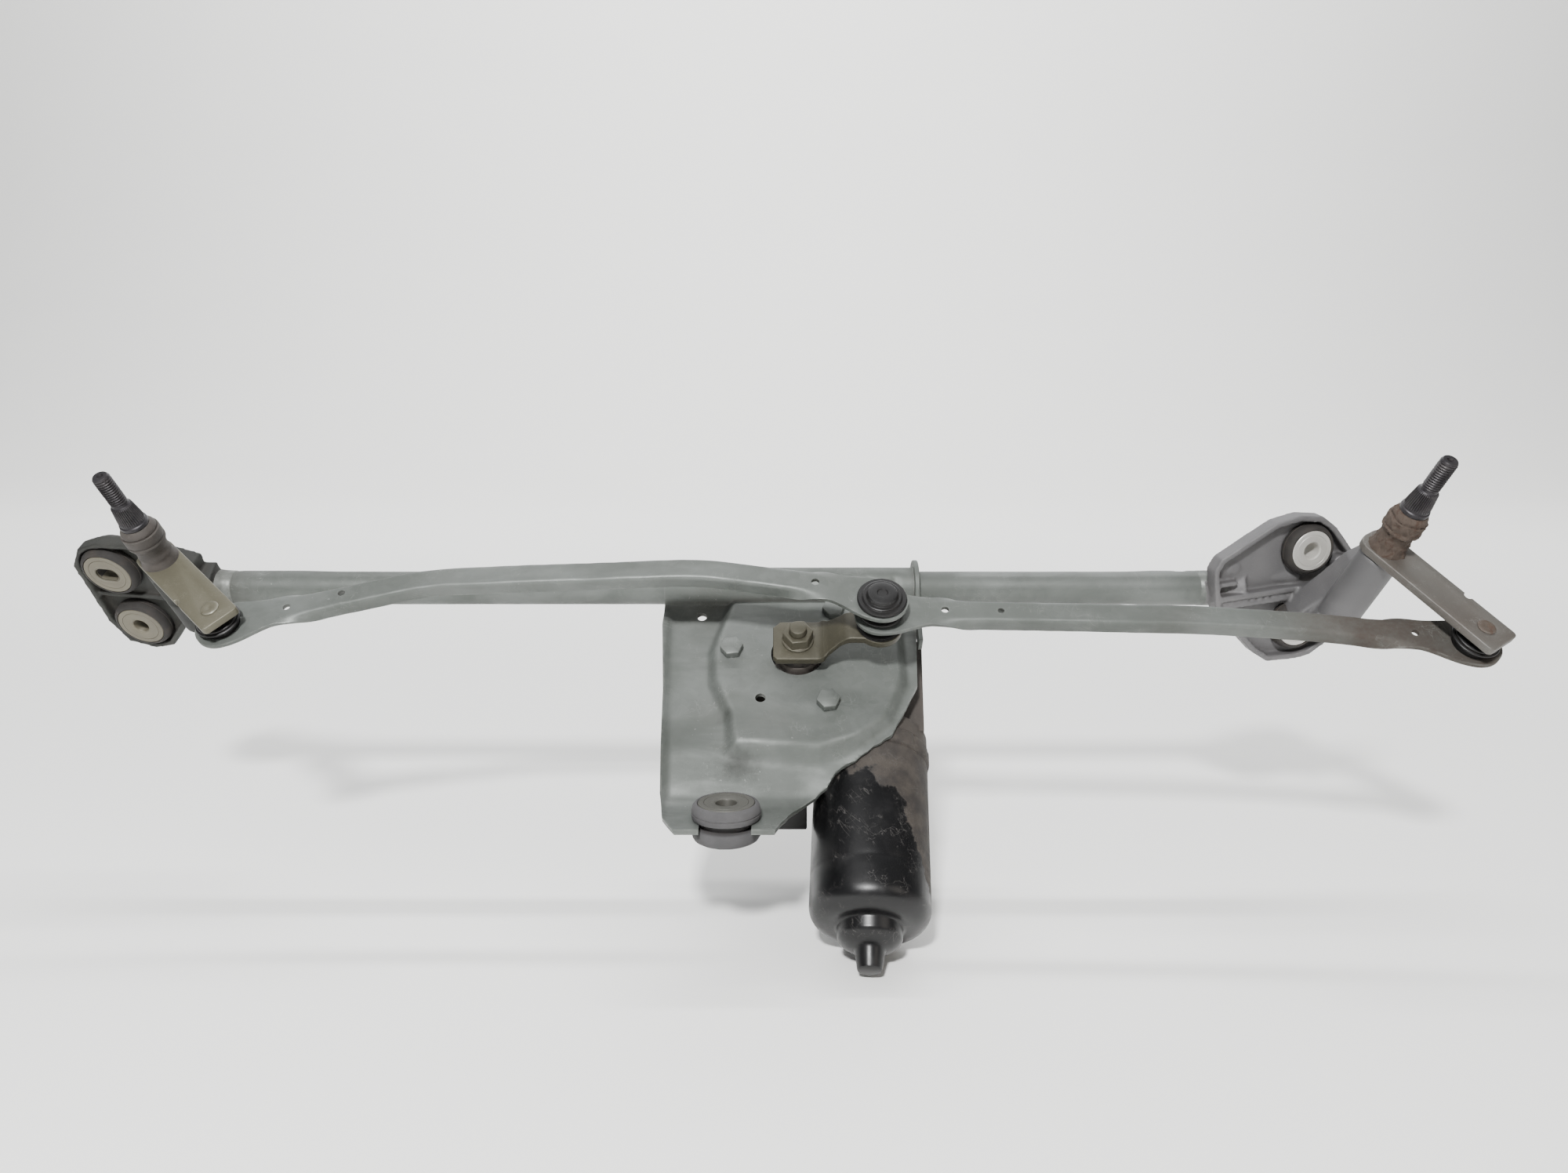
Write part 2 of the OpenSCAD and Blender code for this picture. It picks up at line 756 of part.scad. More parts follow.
module output_shaft() {
    color("#8f8f92") mech() union() {
        translate([0, 0, chamber_back + 1]) cylinder(r = shaft_r, h = arm_low_z - chamber_back - 1);
        translate([0, 0, arm_low_z]) cylinder(r = shaft_thread_r, h = 14);
    }
}

module worm_wheel() {
    tip = wheel_r + 0.55;
    root = wheel_r - 1.25;
    half_tip = 0.12;
    half_root = 0.5;
    step = 360 / wheel_teeth;
    face = 5;
    color("#d8d2b8") mech() rotate([0, 0, motor_yaw]) translate([0, 0, worm_z - face / 2])
        difference() {
            union() {
                linear_extrude(height = face) polygon([
                    for (i = [0 : wheel_teeth - 1], k = [0 : 3])
                        let (
                            r = k == 0 || k == 3 ? root : tip,
                            w = k == 0 || k == 3 ? half_root : half_tip,
                            s = k < 2 ? -1 : 1,
                            a = i * step + s * w / r * 180 / PI
                        ) r * [cos(a), sin(a)]
                ]);
                translate([0, 0, -2]) cylinder(r = 9, h = face + 4);
            }
            translate([0, 0, -10]) cylinder(r = shaft_r, h = 30);
            for (z = [-over, face - 1]) translate([0, 0, z]) ring(28, 12, 1 + over);
        }
}

module park_disc() {
    color("#c9a24a") mech() translate([0, 0, worm_z - 2.5]) difference() {
        ring(26, 14, 0.8);
        rotate([0, 0, 150]) translate([0, 0, -over]) cube([40, 12, 4]);
    }
}

// Crank arm: a strip bent like a Z so that its outer end clears the bolts
module crank_arm() {
    rise = arm_high_z - arm_low_z;
    t = arm_t;
    color("#77766a") mech() difference() {
        intersection() {
            rotate([90, 0, 0]) translate([0, 0, -20]) linear_extrude(height = 40) polygon([
                [-14, arm_low_z], [11, arm_low_z], [25, arm_low_z + rise], [60, arm_high_z],
                [60, arm_high_z + t], [23, arm_high_z + t], [9, arm_low_z + t],
                [-14, arm_low_z + t]
            ]);
            translate([0, 0, -10]) linear_extrude(height = 60) union() {
                bar(-12, 14, 23, 4, 2);
                translate([0, -8]) square([crank_r, 16]);
                translate([crank_r, 0]) circle(r = 11);
            }
        }
        translate([0, 0, -10]) cylinder(r = shaft_thread_r + gap / 3, h = 60);
        translate([crank_r, 0, 0]) cylinder(r = neck_r + gap / 3, h = 60);
    }
}

module crank_nut() {
    color("#8b8878") mech() translate([0, 0, arm_low_z + arm_t]) difference() {
        union() {
            rotate([0, 0, 8]) hexagon(nut_af, nut_h);
            cylinder(r = nut_af / 2 + 1.2, h = 1);
        }
        translate([0, 0, -over]) cylinder(r = shaft_thread_r + gap / 3, h = nut_h + 2 * over);
    }
}

module crank_ball_pin() {
    color("#9d9d9f") mech() translate([crank_r, 0, 0]) union() {
        translate([0, 0, arm_high_z - 1.5]) cylinder(r = 5, h = 1.5);
        translate([0, 0, arm_high_z - 1]) cylinder(r = neck_r, h = left_ball_z - arm_high_z);
        translate([0, 0, right_ball_z]) sphere(r = ball_r);
        translate([0, 0, left_ball_z]) sphere(r = ball_r);
    }
}

// ---------------------------------------------------------------- rods

// One straight stretch of channel: upper face on the line from a to b
module channel(a, b, start, finish, depth) {
    d = b - a;
    flat = norm([d[0], d[1]]);
    l = norm(d);
    translate(a) rotate([0, -atan2(d[2], flat), atan2(d[1], d[0])]) difference() {
        translate([start, -rod_w / 2, -depth]) cube([l - start - finish, rod_w, depth]);
        translate([start - over, -rod_w / 2 + rod_sheet, -depth - over])
            cube([l - start - finish + 2 * over, rod_w - 2 * rod_sheet, depth - rod_sheet + over]);
    }
}

module rod(route) {
    last = len(route) - 1;
    for (i = [1 : last - 2]) channel(route[i], route[i + 1], -0.4, -0.4, rod_depth);
    // flattened ends that carry the eyes
    channel(route[0], route[1], 9, -0.4, eye_t);
    channel(route[last - 1], route[last], -0.4, 9, eye_t);
    for (end = [route[0], route[last]])
        translate([end[0], end[1], end[2] - eye_t]) cylinder(r = eye_r, h = eye_t);
}

module rod_with_holes(route) {
    last = len(route) - 1;
    difference() {
        rod(route);
        for (end = [route[0], route[last]])
            translate([end[0], end[1], end[2] - 20]) cylinder(r = eye_hole_r, h = 40);
        for (at = [route[1], route[last - 1]])
            translate([at[0], at[1], at[2] - 20]) cylinder(r = 1.6, h = 40);
    }
}

module left_rod() {
    color("#95a09a") mech() rod_with_holes(left_route);
}
module right_rod() {
    color("#95a09a") mech() rod_with_holes(right_route);
}

// Plastic cup that holds a ball, open below (stem = -1) or on both sides (stem = 0)
module ball_socket(stem) {
    rotate_extrude() difference() {
        translate([0, -socket_h / 2]) square([socket_r, socket_h]);
        circle(r = ball_r + run);
        if (stem <= 0) polygon([[0, 0], [3.6, -2], [5.6, -socket_h], [0, -socket_h]]);
        if (stem >= 0) polygon([[0, 0], [3.6, 2], [5.6, socket_h], [0, socket_h]]);
    }
}

module left_crank_socket() {
    color("#1b1b1c") mech() translate([crank_r, 0, left_ball_z]) ball_socket(-1);
}
module right_crank_socket() {
    color("#1b1b1c") mech() translate([crank_r, 0, right_ball_z]) ball_socket(0);
}

// Domed cap over the upper ball
module ball_cap() {
    flange_z = left_route[0][2] + gap / 3;
    color("#0d0d0e") mech() translate([crank_r, 0, flange_z]) difference() {
        union() {
            cylinder(r = 11.6, h = 1.8);
            translate([0, 0, 1.8]) cylinder(r = 9.2, h = 1);
            translate([0, 0, 2.8]) cylinder(r1 = 7.2, r2 = 6, h = 2.2);
        }
        translate([0, 0, -over]) cylinder(r = socket_r + gap / 3, h = 1.5 + over);
        translate([0, 0, left_ball_z - flange_z]) sphere(r = ball_r + gap);
    }
}

module boot(r_top, r_bottom, h) {
    difference() {
        cylinder(r1 = r_bottom, r2 = r_top, h = h);
        translate([0, 0, -over]) cylinder(r = 5.8, h = h + 2 * over);
    }
}

module left_rod_boots() {
    color("#151515") {
        mech() translate([crank_r, 0, right_ball_z + socket_h / 2 + gap + 0.2])
            boot(10.5, 11, left_ball_z - right_ball_z - socket_h - gap - 0.3);
        left_spindle_frame() lever_end(left_lever_angle, left_lever_r)
            translate([0, 0, -stud_drop + socket_h / 2 + 0.1]) boot(9, 11, 2.6);
    }
}
module right_rod_boots() {
    color("#151515") {
        mech() translate([crank_r, 0, arm_high_z + arm_t + gap])
            boot(11, 10.5, right_ball_z - socket_h / 2 - arm_high_z - arm_t - gap - 0.1);
        right_spindle_frame() lever_end(right_lever_angle, right_lever_r)
            translate([0, 0, -right_stud_drop + socket_h / 2 + 0.1]) boot(9, 11, 2.6);
    }
}

module lever_end(angle, r) {
    rotate([0, 0, angle]) translate([r, 0, 0]) children();
}

// Ball stud of a rod's outer end; its collar stops one gap short of the lever
module ball_stud(drop) {
    collar_top = -lever_t - 2 * gap;
    union() {
        translate([0, 0, -drop]) sphere(r = ball_r);
        translate([0, 0, -drop]) cylinder(r = neck_r, h = drop + collar_top);
        translate([0, 0, collar_top - 1.2]) cylinder(r = 5.4, h = 1.2);
    }
}

module left_ball_stud() {
    color("#9d9d9f") left_spindle_frame() lever_end(left_lever_angle, left_lever_r)
        ball_stud(stud_drop);
}
module right_ball_stud() {
    color("#9d9d9f") right_spindle_frame() lever_end(right_lever_angle, right_lever_r)
        ball_stud(right_stud_drop);
}
module left_lever_socket() {
    color("#1b1b1c") left_spindle_frame() lever_end(left_lever_angle, left_lever_r)
        translate([0, 0, -stud_drop]) ball_socket(1);
}
module right_lever_socket() {
    color("#1b1b1c") right_spindle_frame() lever_end(right_lever_angle, right_lever_r)
        translate([0, 0, -right_stud_drop]) ball_socket(1);
}

// ---------------------------------------------------------------- spindles

module lever(angle, r, w, hub_corner) {
    notch_x = r - 16;
    rotate([0, 0, angle]) translate([0, 0, -lever_t]) difference() {
        linear_extrude(height = lever_t) bar(-w / 2 - 1, r + 10, w, hub_corner, 2);
        translate([0, 0, -over]) cylinder(r = spindle_r, h = lever_t + 2 * over);
        translate([r, 0, -over]) cylinder(r = 3.4, h = lever_t + 2 * over);
        translate([notch_x, -w / 2, -over]) cylinder(r = 1.8, h = lever_t + 2 * over);
    }
}

module rivet() {
    translate([0, 0, -lever_t]) cylinder(r = 3.3, h = lever_t);
    cylinder(r1 = 4.2, r2 = 3.6, h = 0.8);
}

// Spindle from its circlip groove up to the threaded end
module spindle(l) {
    groove_z = -lever_t - gap - l - 1.6;
    cone_low = sleeve_h + 2;
    cone_high = 55 - spindle_end_l;
    difference() {
        union() {
            translate([0, 0, groove_z - 2.5])
                cylinder(r = spindle_r, h = sleeve_h - groove_z + 3);
            translate([0, 0, sleeve_h + gap / 3]) cylinder(r = 6.4, h = 2);
            translate([0, 0, cone_low]) cylinder(r1 = 5.9, r2 = 4.7, h = cone_high - cone_low);
            translate([0, 0, cone_high - 0.1]) cylinder(r = spindle_end_r, h = spindle_end_l + 0.1);
        }
        translate([0, 0, groove_z]) ring(8, 4.2, 1.2);
    }
}

module circlip(l) {
    groove_z = -lever_t - gap - l - 1.6;
    translate([0, 0, groove_z + 0.1]) difference() {
        ring(7.4, 4.3, 1);
        translate([0, -1.5, -over]) cube([10, 3, 3]);
    }
}

// Collar that stands on the lever and keeps dirt off the bearing
module spindle_sleeve() {
    difference() {
        union() {
            cylinder(r = 8.4, h = sleeve_h - 5);
            translate([0, 0, sleeve_h - 5]) cylinder(r = 9, h = 3.4);
            translate([0, 0, sleeve_h - 1.6]) cylinder(r1 = 9, r2 = 7.4, h = 1.6);
        }
        translate([0, 0, -over]) cylinder(r = spindle_r, h = sleeve_h + 2 * over);
    }
}

module left_spindle() {
    color("#2c2a2e") left_spindle_frame() spindle(left_bearing_l);
}
module left_lever() {
    color("#7d7c68") left_spindle_frame() lever(left_lever_angle, left_lever_r, 18, 4);
}
module left_rivet() {
    color("#8c8a74") left_spindle_frame() lever_end(left_lever_angle, left_lever_r) rivet();
}
module left_sleeve() {
    color("#5a5556") left_spindle_frame() spindle_sleeve();
}
module left_circlip() {
    color("#707074") left_spindle_frame() circlip(left_bearing_l);
}
module right_spindle() {
    color("#2c2a2e") right_spindle_frame() spindle(right_bearing_l);
}
module right_lever() {
    color("#7f8073") right_spindle_frame() lever(right_lever_angle, right_lever_r, 19, 6);
}
module right_rivet() {
    color("#8f7a66") right_spindle_frame() lever_end(right_lever_angle, right_lever_r) rivet();
}
module right_sleeve() {
    color("#6b5a48") right_spindle_frame() spindle_sleeve();
}
module right_circlip() {
    color("#707074") right_spindle_frame() circlip(right_bearing_l);
}

// ---------------------------------------------------------------- nodes

cross_tube();
motor_bracket();
left_housing();
right_housing();
lower_grommet();
left_upper_grommet();
left_lower_grommet();
right_upper_grommet();
right_lower_grommet();
lower_sleeve();
left_upper_sleeve();
left_lower_sleeve();
right_upper_sleeve();
right_lower_sleeve();
bracket_bolts();
gear_housing();
gear_cover();
cover_screws();
connector();
motor_yoke();
yoke_screws();
magnets();
shaft_bearings();
brush_holder();
brushes();
output_bush();
shaft_seal();
left_bush();
right_bush();
armature_shaft();
armature_core();
armature_windings();
commutator();
output_shaft();
worm_wheel();
park_disc();
crank_arm();
crank_nut();
crank_ball_pin();
left_rod();
left_crank_socket();
left_lever_socket();
ball_cap();
left_ball_stud();
left_rod_boots();
right_rod();
right_crank_socket();
right_lever_socket();
right_ball_stud();
right_rod_boots();
left_spindle();
left_lever();
left_rivet();
left_sleeve();
left_circlip();
right_spindle();
right_lever();
right_rivet();
right_sleeve();
right_circlip();
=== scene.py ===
# %% [markdown]
# # A windshield wiper linkage
#
# The real object is a car's wiper linkage: a motor on a zinc-coated bracket swings
# two rods, and the rods turn the two spindles that carry the wiper arms. Sizes and
# joints come from a CAD model that is loaded first and is never moved. Everything
# below is about looks: shapes with softer edges than the CAD has, and finishes that
# have lived under a bonnet for years.

# %% Load the frame
import json
import math
import bmesh
import bpy
from mathutils import Matrix, Vector, noise


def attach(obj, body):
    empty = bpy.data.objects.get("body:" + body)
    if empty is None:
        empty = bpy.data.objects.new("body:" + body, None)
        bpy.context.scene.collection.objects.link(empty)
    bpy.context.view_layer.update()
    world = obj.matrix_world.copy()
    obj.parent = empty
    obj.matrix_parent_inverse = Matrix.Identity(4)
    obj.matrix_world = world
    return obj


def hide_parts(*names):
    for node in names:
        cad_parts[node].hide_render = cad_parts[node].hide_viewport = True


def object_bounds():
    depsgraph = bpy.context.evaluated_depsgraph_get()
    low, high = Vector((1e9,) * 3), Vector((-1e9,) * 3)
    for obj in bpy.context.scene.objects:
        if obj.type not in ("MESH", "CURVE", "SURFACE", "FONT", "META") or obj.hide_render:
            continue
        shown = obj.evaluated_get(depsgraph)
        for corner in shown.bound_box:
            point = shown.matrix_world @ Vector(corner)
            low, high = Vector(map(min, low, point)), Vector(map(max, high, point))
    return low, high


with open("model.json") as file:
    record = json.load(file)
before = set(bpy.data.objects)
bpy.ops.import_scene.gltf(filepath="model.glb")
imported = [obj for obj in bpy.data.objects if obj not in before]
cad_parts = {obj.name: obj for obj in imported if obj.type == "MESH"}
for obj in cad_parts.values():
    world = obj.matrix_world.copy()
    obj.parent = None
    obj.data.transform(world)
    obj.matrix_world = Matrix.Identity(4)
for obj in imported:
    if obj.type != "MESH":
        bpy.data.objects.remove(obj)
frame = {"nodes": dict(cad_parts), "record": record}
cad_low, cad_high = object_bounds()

MM = 0.001
print("CAD box", [round(v, 3) for v in cad_high - cad_low])

# %% [markdown]
# ## Frames of reference
#
# The mechanism leans back by 40 degrees, because the car's windscreen does. It is
# easiest to model each piece upright in millimetres in the place where a workshop
# drawing would have it, and to move the finished mesh with one matrix. The names
# below are those drawing frames: the mechanism, the motor, the two pairs of rubber
# mounts and the two spindles.

# %% Drawing frames
def turn(degrees, axis):
    return Matrix.Rotation(math.radians(degrees), 4, axis)


def shift(x, y, z):
    return Matrix.Translation((x, y, z))


SCALE = Matrix.Scale(MM, 4)
LOWER_MOUNT = (-32, -91.5, -0.9)
MECH = SCALE @ turn(40, "X") @ shift(32, 91.5, 0.9)
MOTOR = MECH @ turn(-3.1, "Z") @ shift(38, 0, -35)
MOTOR_AXIS = MOTOR @ turn(-90, "X")
LEFT_MOUNTS = MECH @ shift(-356, 48, 4) @ turn(-6.4, "Z") @ turn(84, "X")
RIGHT_MOUNTS = MECH @ shift(261, 50, 20) @ turn(11, "Z") @ turn(61.4, "X")
LEFT_SPINDLE = MECH @ shift(-308.7, 30, 36.2) @ turn(-4.7, "Y")
RIGHT_SPINDLE = MECH @ shift(274.9, 20.8, 54.5) @ turn(5.6, "Y")
LEFT_PAIR = Vector((3.4, -37.2, 0))
RIGHT_PAIR = Vector((-4.8, -40.9, 0))
TO_MECH = MECH.inverted()

CRANK = 38.7                                # from the output shaft to the crank's pin
LEVER_T = 4                                 # the levers' thickness
LEFT_REACH, LEFT_LEAN = 49.5, -43           # a lever's length and its angle at rest
RIGHT_REACH, RIGHT_LEAN = 54.4, -57.7
LEFT_TIP = turn(LEFT_LEAN, "Z") @ shift(LEFT_REACH, 0, 0)
RIGHT_TIP = turn(RIGHT_LEAN, "Z") @ shift(RIGHT_REACH, 0, 0)


def on_tube(x):
    """A place on the cross tube's axis, with Z along the tube."""
    return shift(x, 47, -5) @ turn(90, "Y")


# %% [markdown]
# ## A few tools that the pieces share
#
# Each tool is what a hand would do in Blender: add a primitive, go into edit mode,
# select by place, extrude or spin, and come back with modifiers applied. Loading the
# CAD leaves its objects selected, and an operator works on everything selected, so
# every tool starts by deselecting.

# %% Selecting and editing
def deselect():
    if bpy.context.object and bpy.context.object.mode != "OBJECT":
        bpy.ops.object.mode_set(mode="OBJECT")
    bpy.ops.object.select_all(action="DESELECT")


def hold(piece):
    deselect()
    piece.select_set(True)
    bpy.context.view_layer.objects.active = piece


def open_up(piece, select="DESELECT"):
    hold(piece)
    bpy.ops.object.mode_set(mode="EDIT")
    bpy.ops.mesh.select_mode(type="VERT")
    bpy.ops.mesh.select_all(action=select)


def close_up():
    bpy.ops.object.mode_set(mode="OBJECT")


def modify(piece, kind, **settings):
    """Add a modifier, set it and apply it."""
    hold(piece)
    modifier = piece.modifiers.new(kind.title(), kind)
    for key, value in settings.items():
        setattr(modifier, key, value)
    bpy.ops.object.modifier_apply(modifier=modifier.name)


def tidy_normals(piece):
    open_up(piece, "SELECT")
    bpy.ops.mesh.remove_doubles(threshold=0.002)
    bpy.ops.mesh.normals_make_consistent(inside=False)
    close_up()


def smooth(piece, angle=32):
    hold(piece)
    bpy.ops.object.shade_smooth_by_angle(angle=math.radians(angle))


# %% One vertex, then a chain of extrusions
def chain(name, points, closed=False):
    """A wire through the points, drawn by extruding one vertex again and again."""
    deselect()
    bpy.ops.mesh.primitive_plane_add(size=1, location=(0, 0, 0))
    piece = bpy.context.object
    piece.name = name
    open_up(piece, "SELECT")
    bpy.ops.mesh.merge(type="CENTER")
    bpy.ops.transform.translate(value=points[0])
    for before, after in zip(points, points[1:]):
        step = Vector(after) - Vector(before)
        bpy.ops.mesh.extrude_region_move(TRANSFORM_OT_translate={"value": step})
    if closed:
        bpy.ops.mesh.select_all(action="SELECT")
        bpy.ops.mesh.edge_face_add()
    close_up()
    return piece


def turned(name, profile, steps=64):
    """A lathe: the wire of (radius, height) points spun once round the Z axis."""
    piece = chain(name, [(r, 0, z) for r, z in profile])
    open_up(piece, "SELECT")
    bpy.ops.mesh.spin(steps=steps, angle=math.tau, center=(0, 0, 0), axis=(0, 0, 1))
    close_up()
    tidy_normals(piece)
    return piece


def slab(name, outline, low, high):
    """A flat outline, filled and extruded from one height to another."""
    piece = chain(name, [(x, y, low) for x, y in outline], closed=True)
    open_up(piece, "SELECT")
    bpy.ops.mesh.extrude_region_move(TRANSFORM_OT_translate={"value": (0, 0, high - low)})
    bpy.ops.mesh.select_all(action="SELECT")
    bpy.ops.mesh.normals_make_consistent(inside=False)
    close_up()
    return piece


def barrel(name, radius, low, high, at=(0, 0), sides=48):
    deselect()
    bpy.ops.mesh.primitive_cylinder_add(
        vertices=sides, radius=radius, depth=high - low,
        location=(at[0], at[1], (low + high) / 2))
    piece = bpy.context.object
    piece.name = name
    bpy.ops.object.transform_apply(location=True, rotation=True, scale=True)
    return piece


def brick(name, low, high):
    deselect()
    bpy.ops.mesh.primitive_cube_add(
        size=1, location=[(a + b) / 2 for a, b in zip(low, high)],
        scale=[b - a for a, b in zip(low, high)])
    piece = bpy.context.object
    piece.name = name
    bpy.ops.object.transform_apply(location=True, rotation=True, scale=True)
    return piece


# %% Joining, cutting and seating
def carried(piece, matrix):
    """Move a mesh, not its object, which stays at the origin."""
    piece.data.transform(matrix)
    piece.data.update()
    return piece


def cut(piece, *cutters):
    for cutter in cutters:
        modify(piece, "BOOLEAN", object=cutter, operation="DIFFERENCE", solver="EXACT")
        bpy.data.objects.remove(cutter, do_unlink=True)
    return piece


def fused(name, pieces):
    """Several pieces joined into one mesh, each of them still a closed shell."""
    deselect()
    for piece in pieces:
        piece.select_set(True)
    bpy.context.view_layer.objects.active = pieces[0]
    bpy.ops.object.join()
    pieces[0].name = name
    return pieces[0]


def reshape(piece, move):
    """Sculpt in code: every vertex goes where the function says."""
    for vertex in piece.data.vertices:
        vertex.co = move(vertex.co.copy())
    piece.data.update()


def blend01(low, high, value):
    """0 below low, 1 above high and an S between them."""
    t = min(1.0, max(0.0, (value - low) / (high - low)))
    return t * t * (3 - 2 * t)


finished = []


def seat(piece, matrix, body, slot, *nodes):
    """Put a finished piece in its place, on its body, for the CAD nodes it replaces."""
    carried(piece, matrix)
    if matrix.determinant() < 0:
        piece.data.flip_normals()
    piece.data.materials.clear()
    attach(piece, body)
    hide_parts(*nodes)
    finished.append((piece, slot))
    print(piece.name, len(piece.data.polygons), "faces on", body)
    return piece

# %% [markdown]
# ## Shader maths as ordinary expressions
#
# A node material is a formula. Wiring it by hand is clear for five nodes and
# unreadable for fifty, so one small class stands for one node output: adding or
# multiplying two of them makes the Math node, and any other node comes from the
# method named node.

# %% The Socket class
class Socket:
    """One output of a shader node."""

    def __init__(self, tree, out=None):
        self.tree, self.out = tree, out

    def node(self, kind, settings=None, inputs=None, out=0):
        made = self.tree.nodes.new(kind)
        for key, value in (settings or {}).items():
            if key == "stops":
                ramp = made.color_ramp
                while len(ramp.elements) < len(value):
                    ramp.elements.new(0.5)
                for element, (place, colour) in zip(ramp.elements, value):
                    element.position, element.color = place, colour
            else:
                setattr(made, key, value)
        for key, value in (inputs or {}).items():
            if isinstance(value, Socket):
                self.tree.links.new(value.out, made.inputs[key])
            else:
                made.inputs[key].default_value = value
        return Socket(self.tree, made.outputs[out] if made.outputs else None)

    def maths(self, operation, *values):
        return self.node("ShaderNodeMath", {"operation": operation},
                         dict(enumerate(values)))

    def __add__(self, other):
        return self.maths("ADD", self, other)

    def __mul__(self, other):
        return self.maths("MULTIPLY", self, other)

    def __sub__(self, other):
        return self.maths("SUBTRACT", self, other)

    def __rsub__(self, other):
        return self.maths("SUBTRACT", other, self)

    __radd__, __rmul__ = __add__, __mul__

    def between(self, low, high):
        """0 below low, 1 above high, with a soft step between them."""
        return self.node("ShaderNodeMapRange", {"interpolation_type": "SMOOTHSTEP"},
                         {"Value": self, "From Min": low, "From Max": high})

    def scaled(self, factor):
        return self.node("ShaderNodeVectorMath", {"operation": "SCALE"},
                         {0: self, "Scale": factor})

    def stretched(self, size, rotation=(0, 0, 0)):
        """A pattern drawn long in the directions where size is large."""
        return self.node("ShaderNodeMapping", {"vector_type": "TEXTURE"},
                         {"Vector": self, "Rotation": rotation, "Scale": size})

    def cloud(self, size, detail=4, rough=0.55, twist=0.0):
        """Soft noise whose blots are about size millimetres wide."""
        return self.node("ShaderNodeTexNoise", None, {
            "Vector": self, "Scale": 1 / size, "Detail": detail,
            "Roughness": rough, "Distortion": twist})

    def crystals(self, size, out="Distance"):
        return self.node("ShaderNodeTexVoronoi", {"feature": "F1"},
                         {"Vector": self, "Scale": 1 / size}, out)

    def part(self, axis):
        return self.node("ShaderNodeSeparateXYZ", None, {0: self}, axis)

    def over(self, below, colour):
        """This mask lays a colour over the one below."""
        mix = {"data_type": "RGBA", "blend_type": "MIX"}
        return self.node("ShaderNodeMix", mix, {0: self, 6: below, 7: colour}, 2)


LIT = 0.52      # how much darker a surface is than it looks under the studio's light


def paint(code, lit=LIT):
    """A colour as it is seen, such as 7a807c, as the linear values Blender mixes."""
    parts = [int(code[i:i + 2], 16) / 255 for i in (0, 2, 4)]
    return tuple(lit * (p / 12.92 if p <= 0.04045 else ((p + 0.055) / 1.055) ** 2.4)
                 for p in parts) + (1.0,)


# %% One surface, many layers
def finish_of(name, recipe, metallic, bump, specular=0.5):
    """A material whose recipe returns colour, roughness and height in millimetres."""
    material = bpy.data.materials.new(name)
    material.use_nodes = True
    tree = material.node_tree
    tree.nodes.clear()
    start = Socket(tree)
    at = start.node("ShaderNodeTexCoord", out="Object").scaled(1 / MM)
    colour, roughness, height = recipe(at)
    normal = at.node("ShaderNodeBump", None, {
        "Strength": bump, "Distance": MM, "Height": height})
    surface = at.node("ShaderNodeBsdfPrincipled", None, {
        "Base Color": colour, "Roughness": roughness, "Metallic": metallic,
        "Specular IOR Level": specular, "Normal": normal})
    at.node("ShaderNodeOutputMaterial", None, {"Surface": surface})
    return material


def corner_shade_and_dirt(at, reach):
    """1 deep in corners and 0 in the open, from ambient occlusion: painted shade in
    corners, with the dirt that gathers there.
    """
    near = at.node("ShaderNodeAmbientOcclusion", {"samples": 6, "only_local": True},
                   {"Distance": reach * MM}, "AO")
    return 1 - near.between(0.35, 0.95)


def worn(at, reach, low):
    """1 along outer edges, where a finish is rubbed away."""
    inside = at.node("ShaderNodeAmbientOcclusion",
                     {"samples": 6, "only_local": True, "inside": True},
                     {"Distance": reach * MM}, "AO")
    return 1 - inside.between(low, 0.95)


def scratches(at, length, gap, fineness=0.012, lean=0.3):
    """Thin lines in two directions, broken up by a cloud."""
    lines = None
    for angle, stretch in ((lean, length), (lean - 1.9, length * 0.7)):
        field = at.stretched((stretch, 1, 1), (0, 0.4, angle)).cloud(gap, 2, 0.5)
        close = (field - 0.5).maths("ABSOLUTE", field - 0.5)
        line = 1 - close.between(0.0, fineness)
        lines = line if lines is None else lines.maths("MAXIMUM", lines, line)
    return lines * at.cloud(length * 0.6, 2).between(0.5, 0.62)


# %% [markdown]
# ## Zinc, seen through years of road dust
#
# Most of the steel here is galvanised sheet. New zinc has a spangle of crystals;
# old zinc turns a soft green-grey with white oxide spots, keeps brown dust where
# water dries, and shows a brighter line where something has rubbed. All of that is
# noise at different sizes: crystals of 3 mm, spots of 2 mm, clouds of 36 mm. The
# outer ends of the rods stood in the wet, so they are browner than the middle.
# Brown is also laid deepest in corners: painted shade as well as dust.

# %% Galvanised steel
TONE, PALE, DULL, DUST_AND_SHADE = "7e837f", "a4a8a4", "686d68", "574e47"
WET_ENDS = (232, 300)       # millimetres from the middle, where the brown sets in


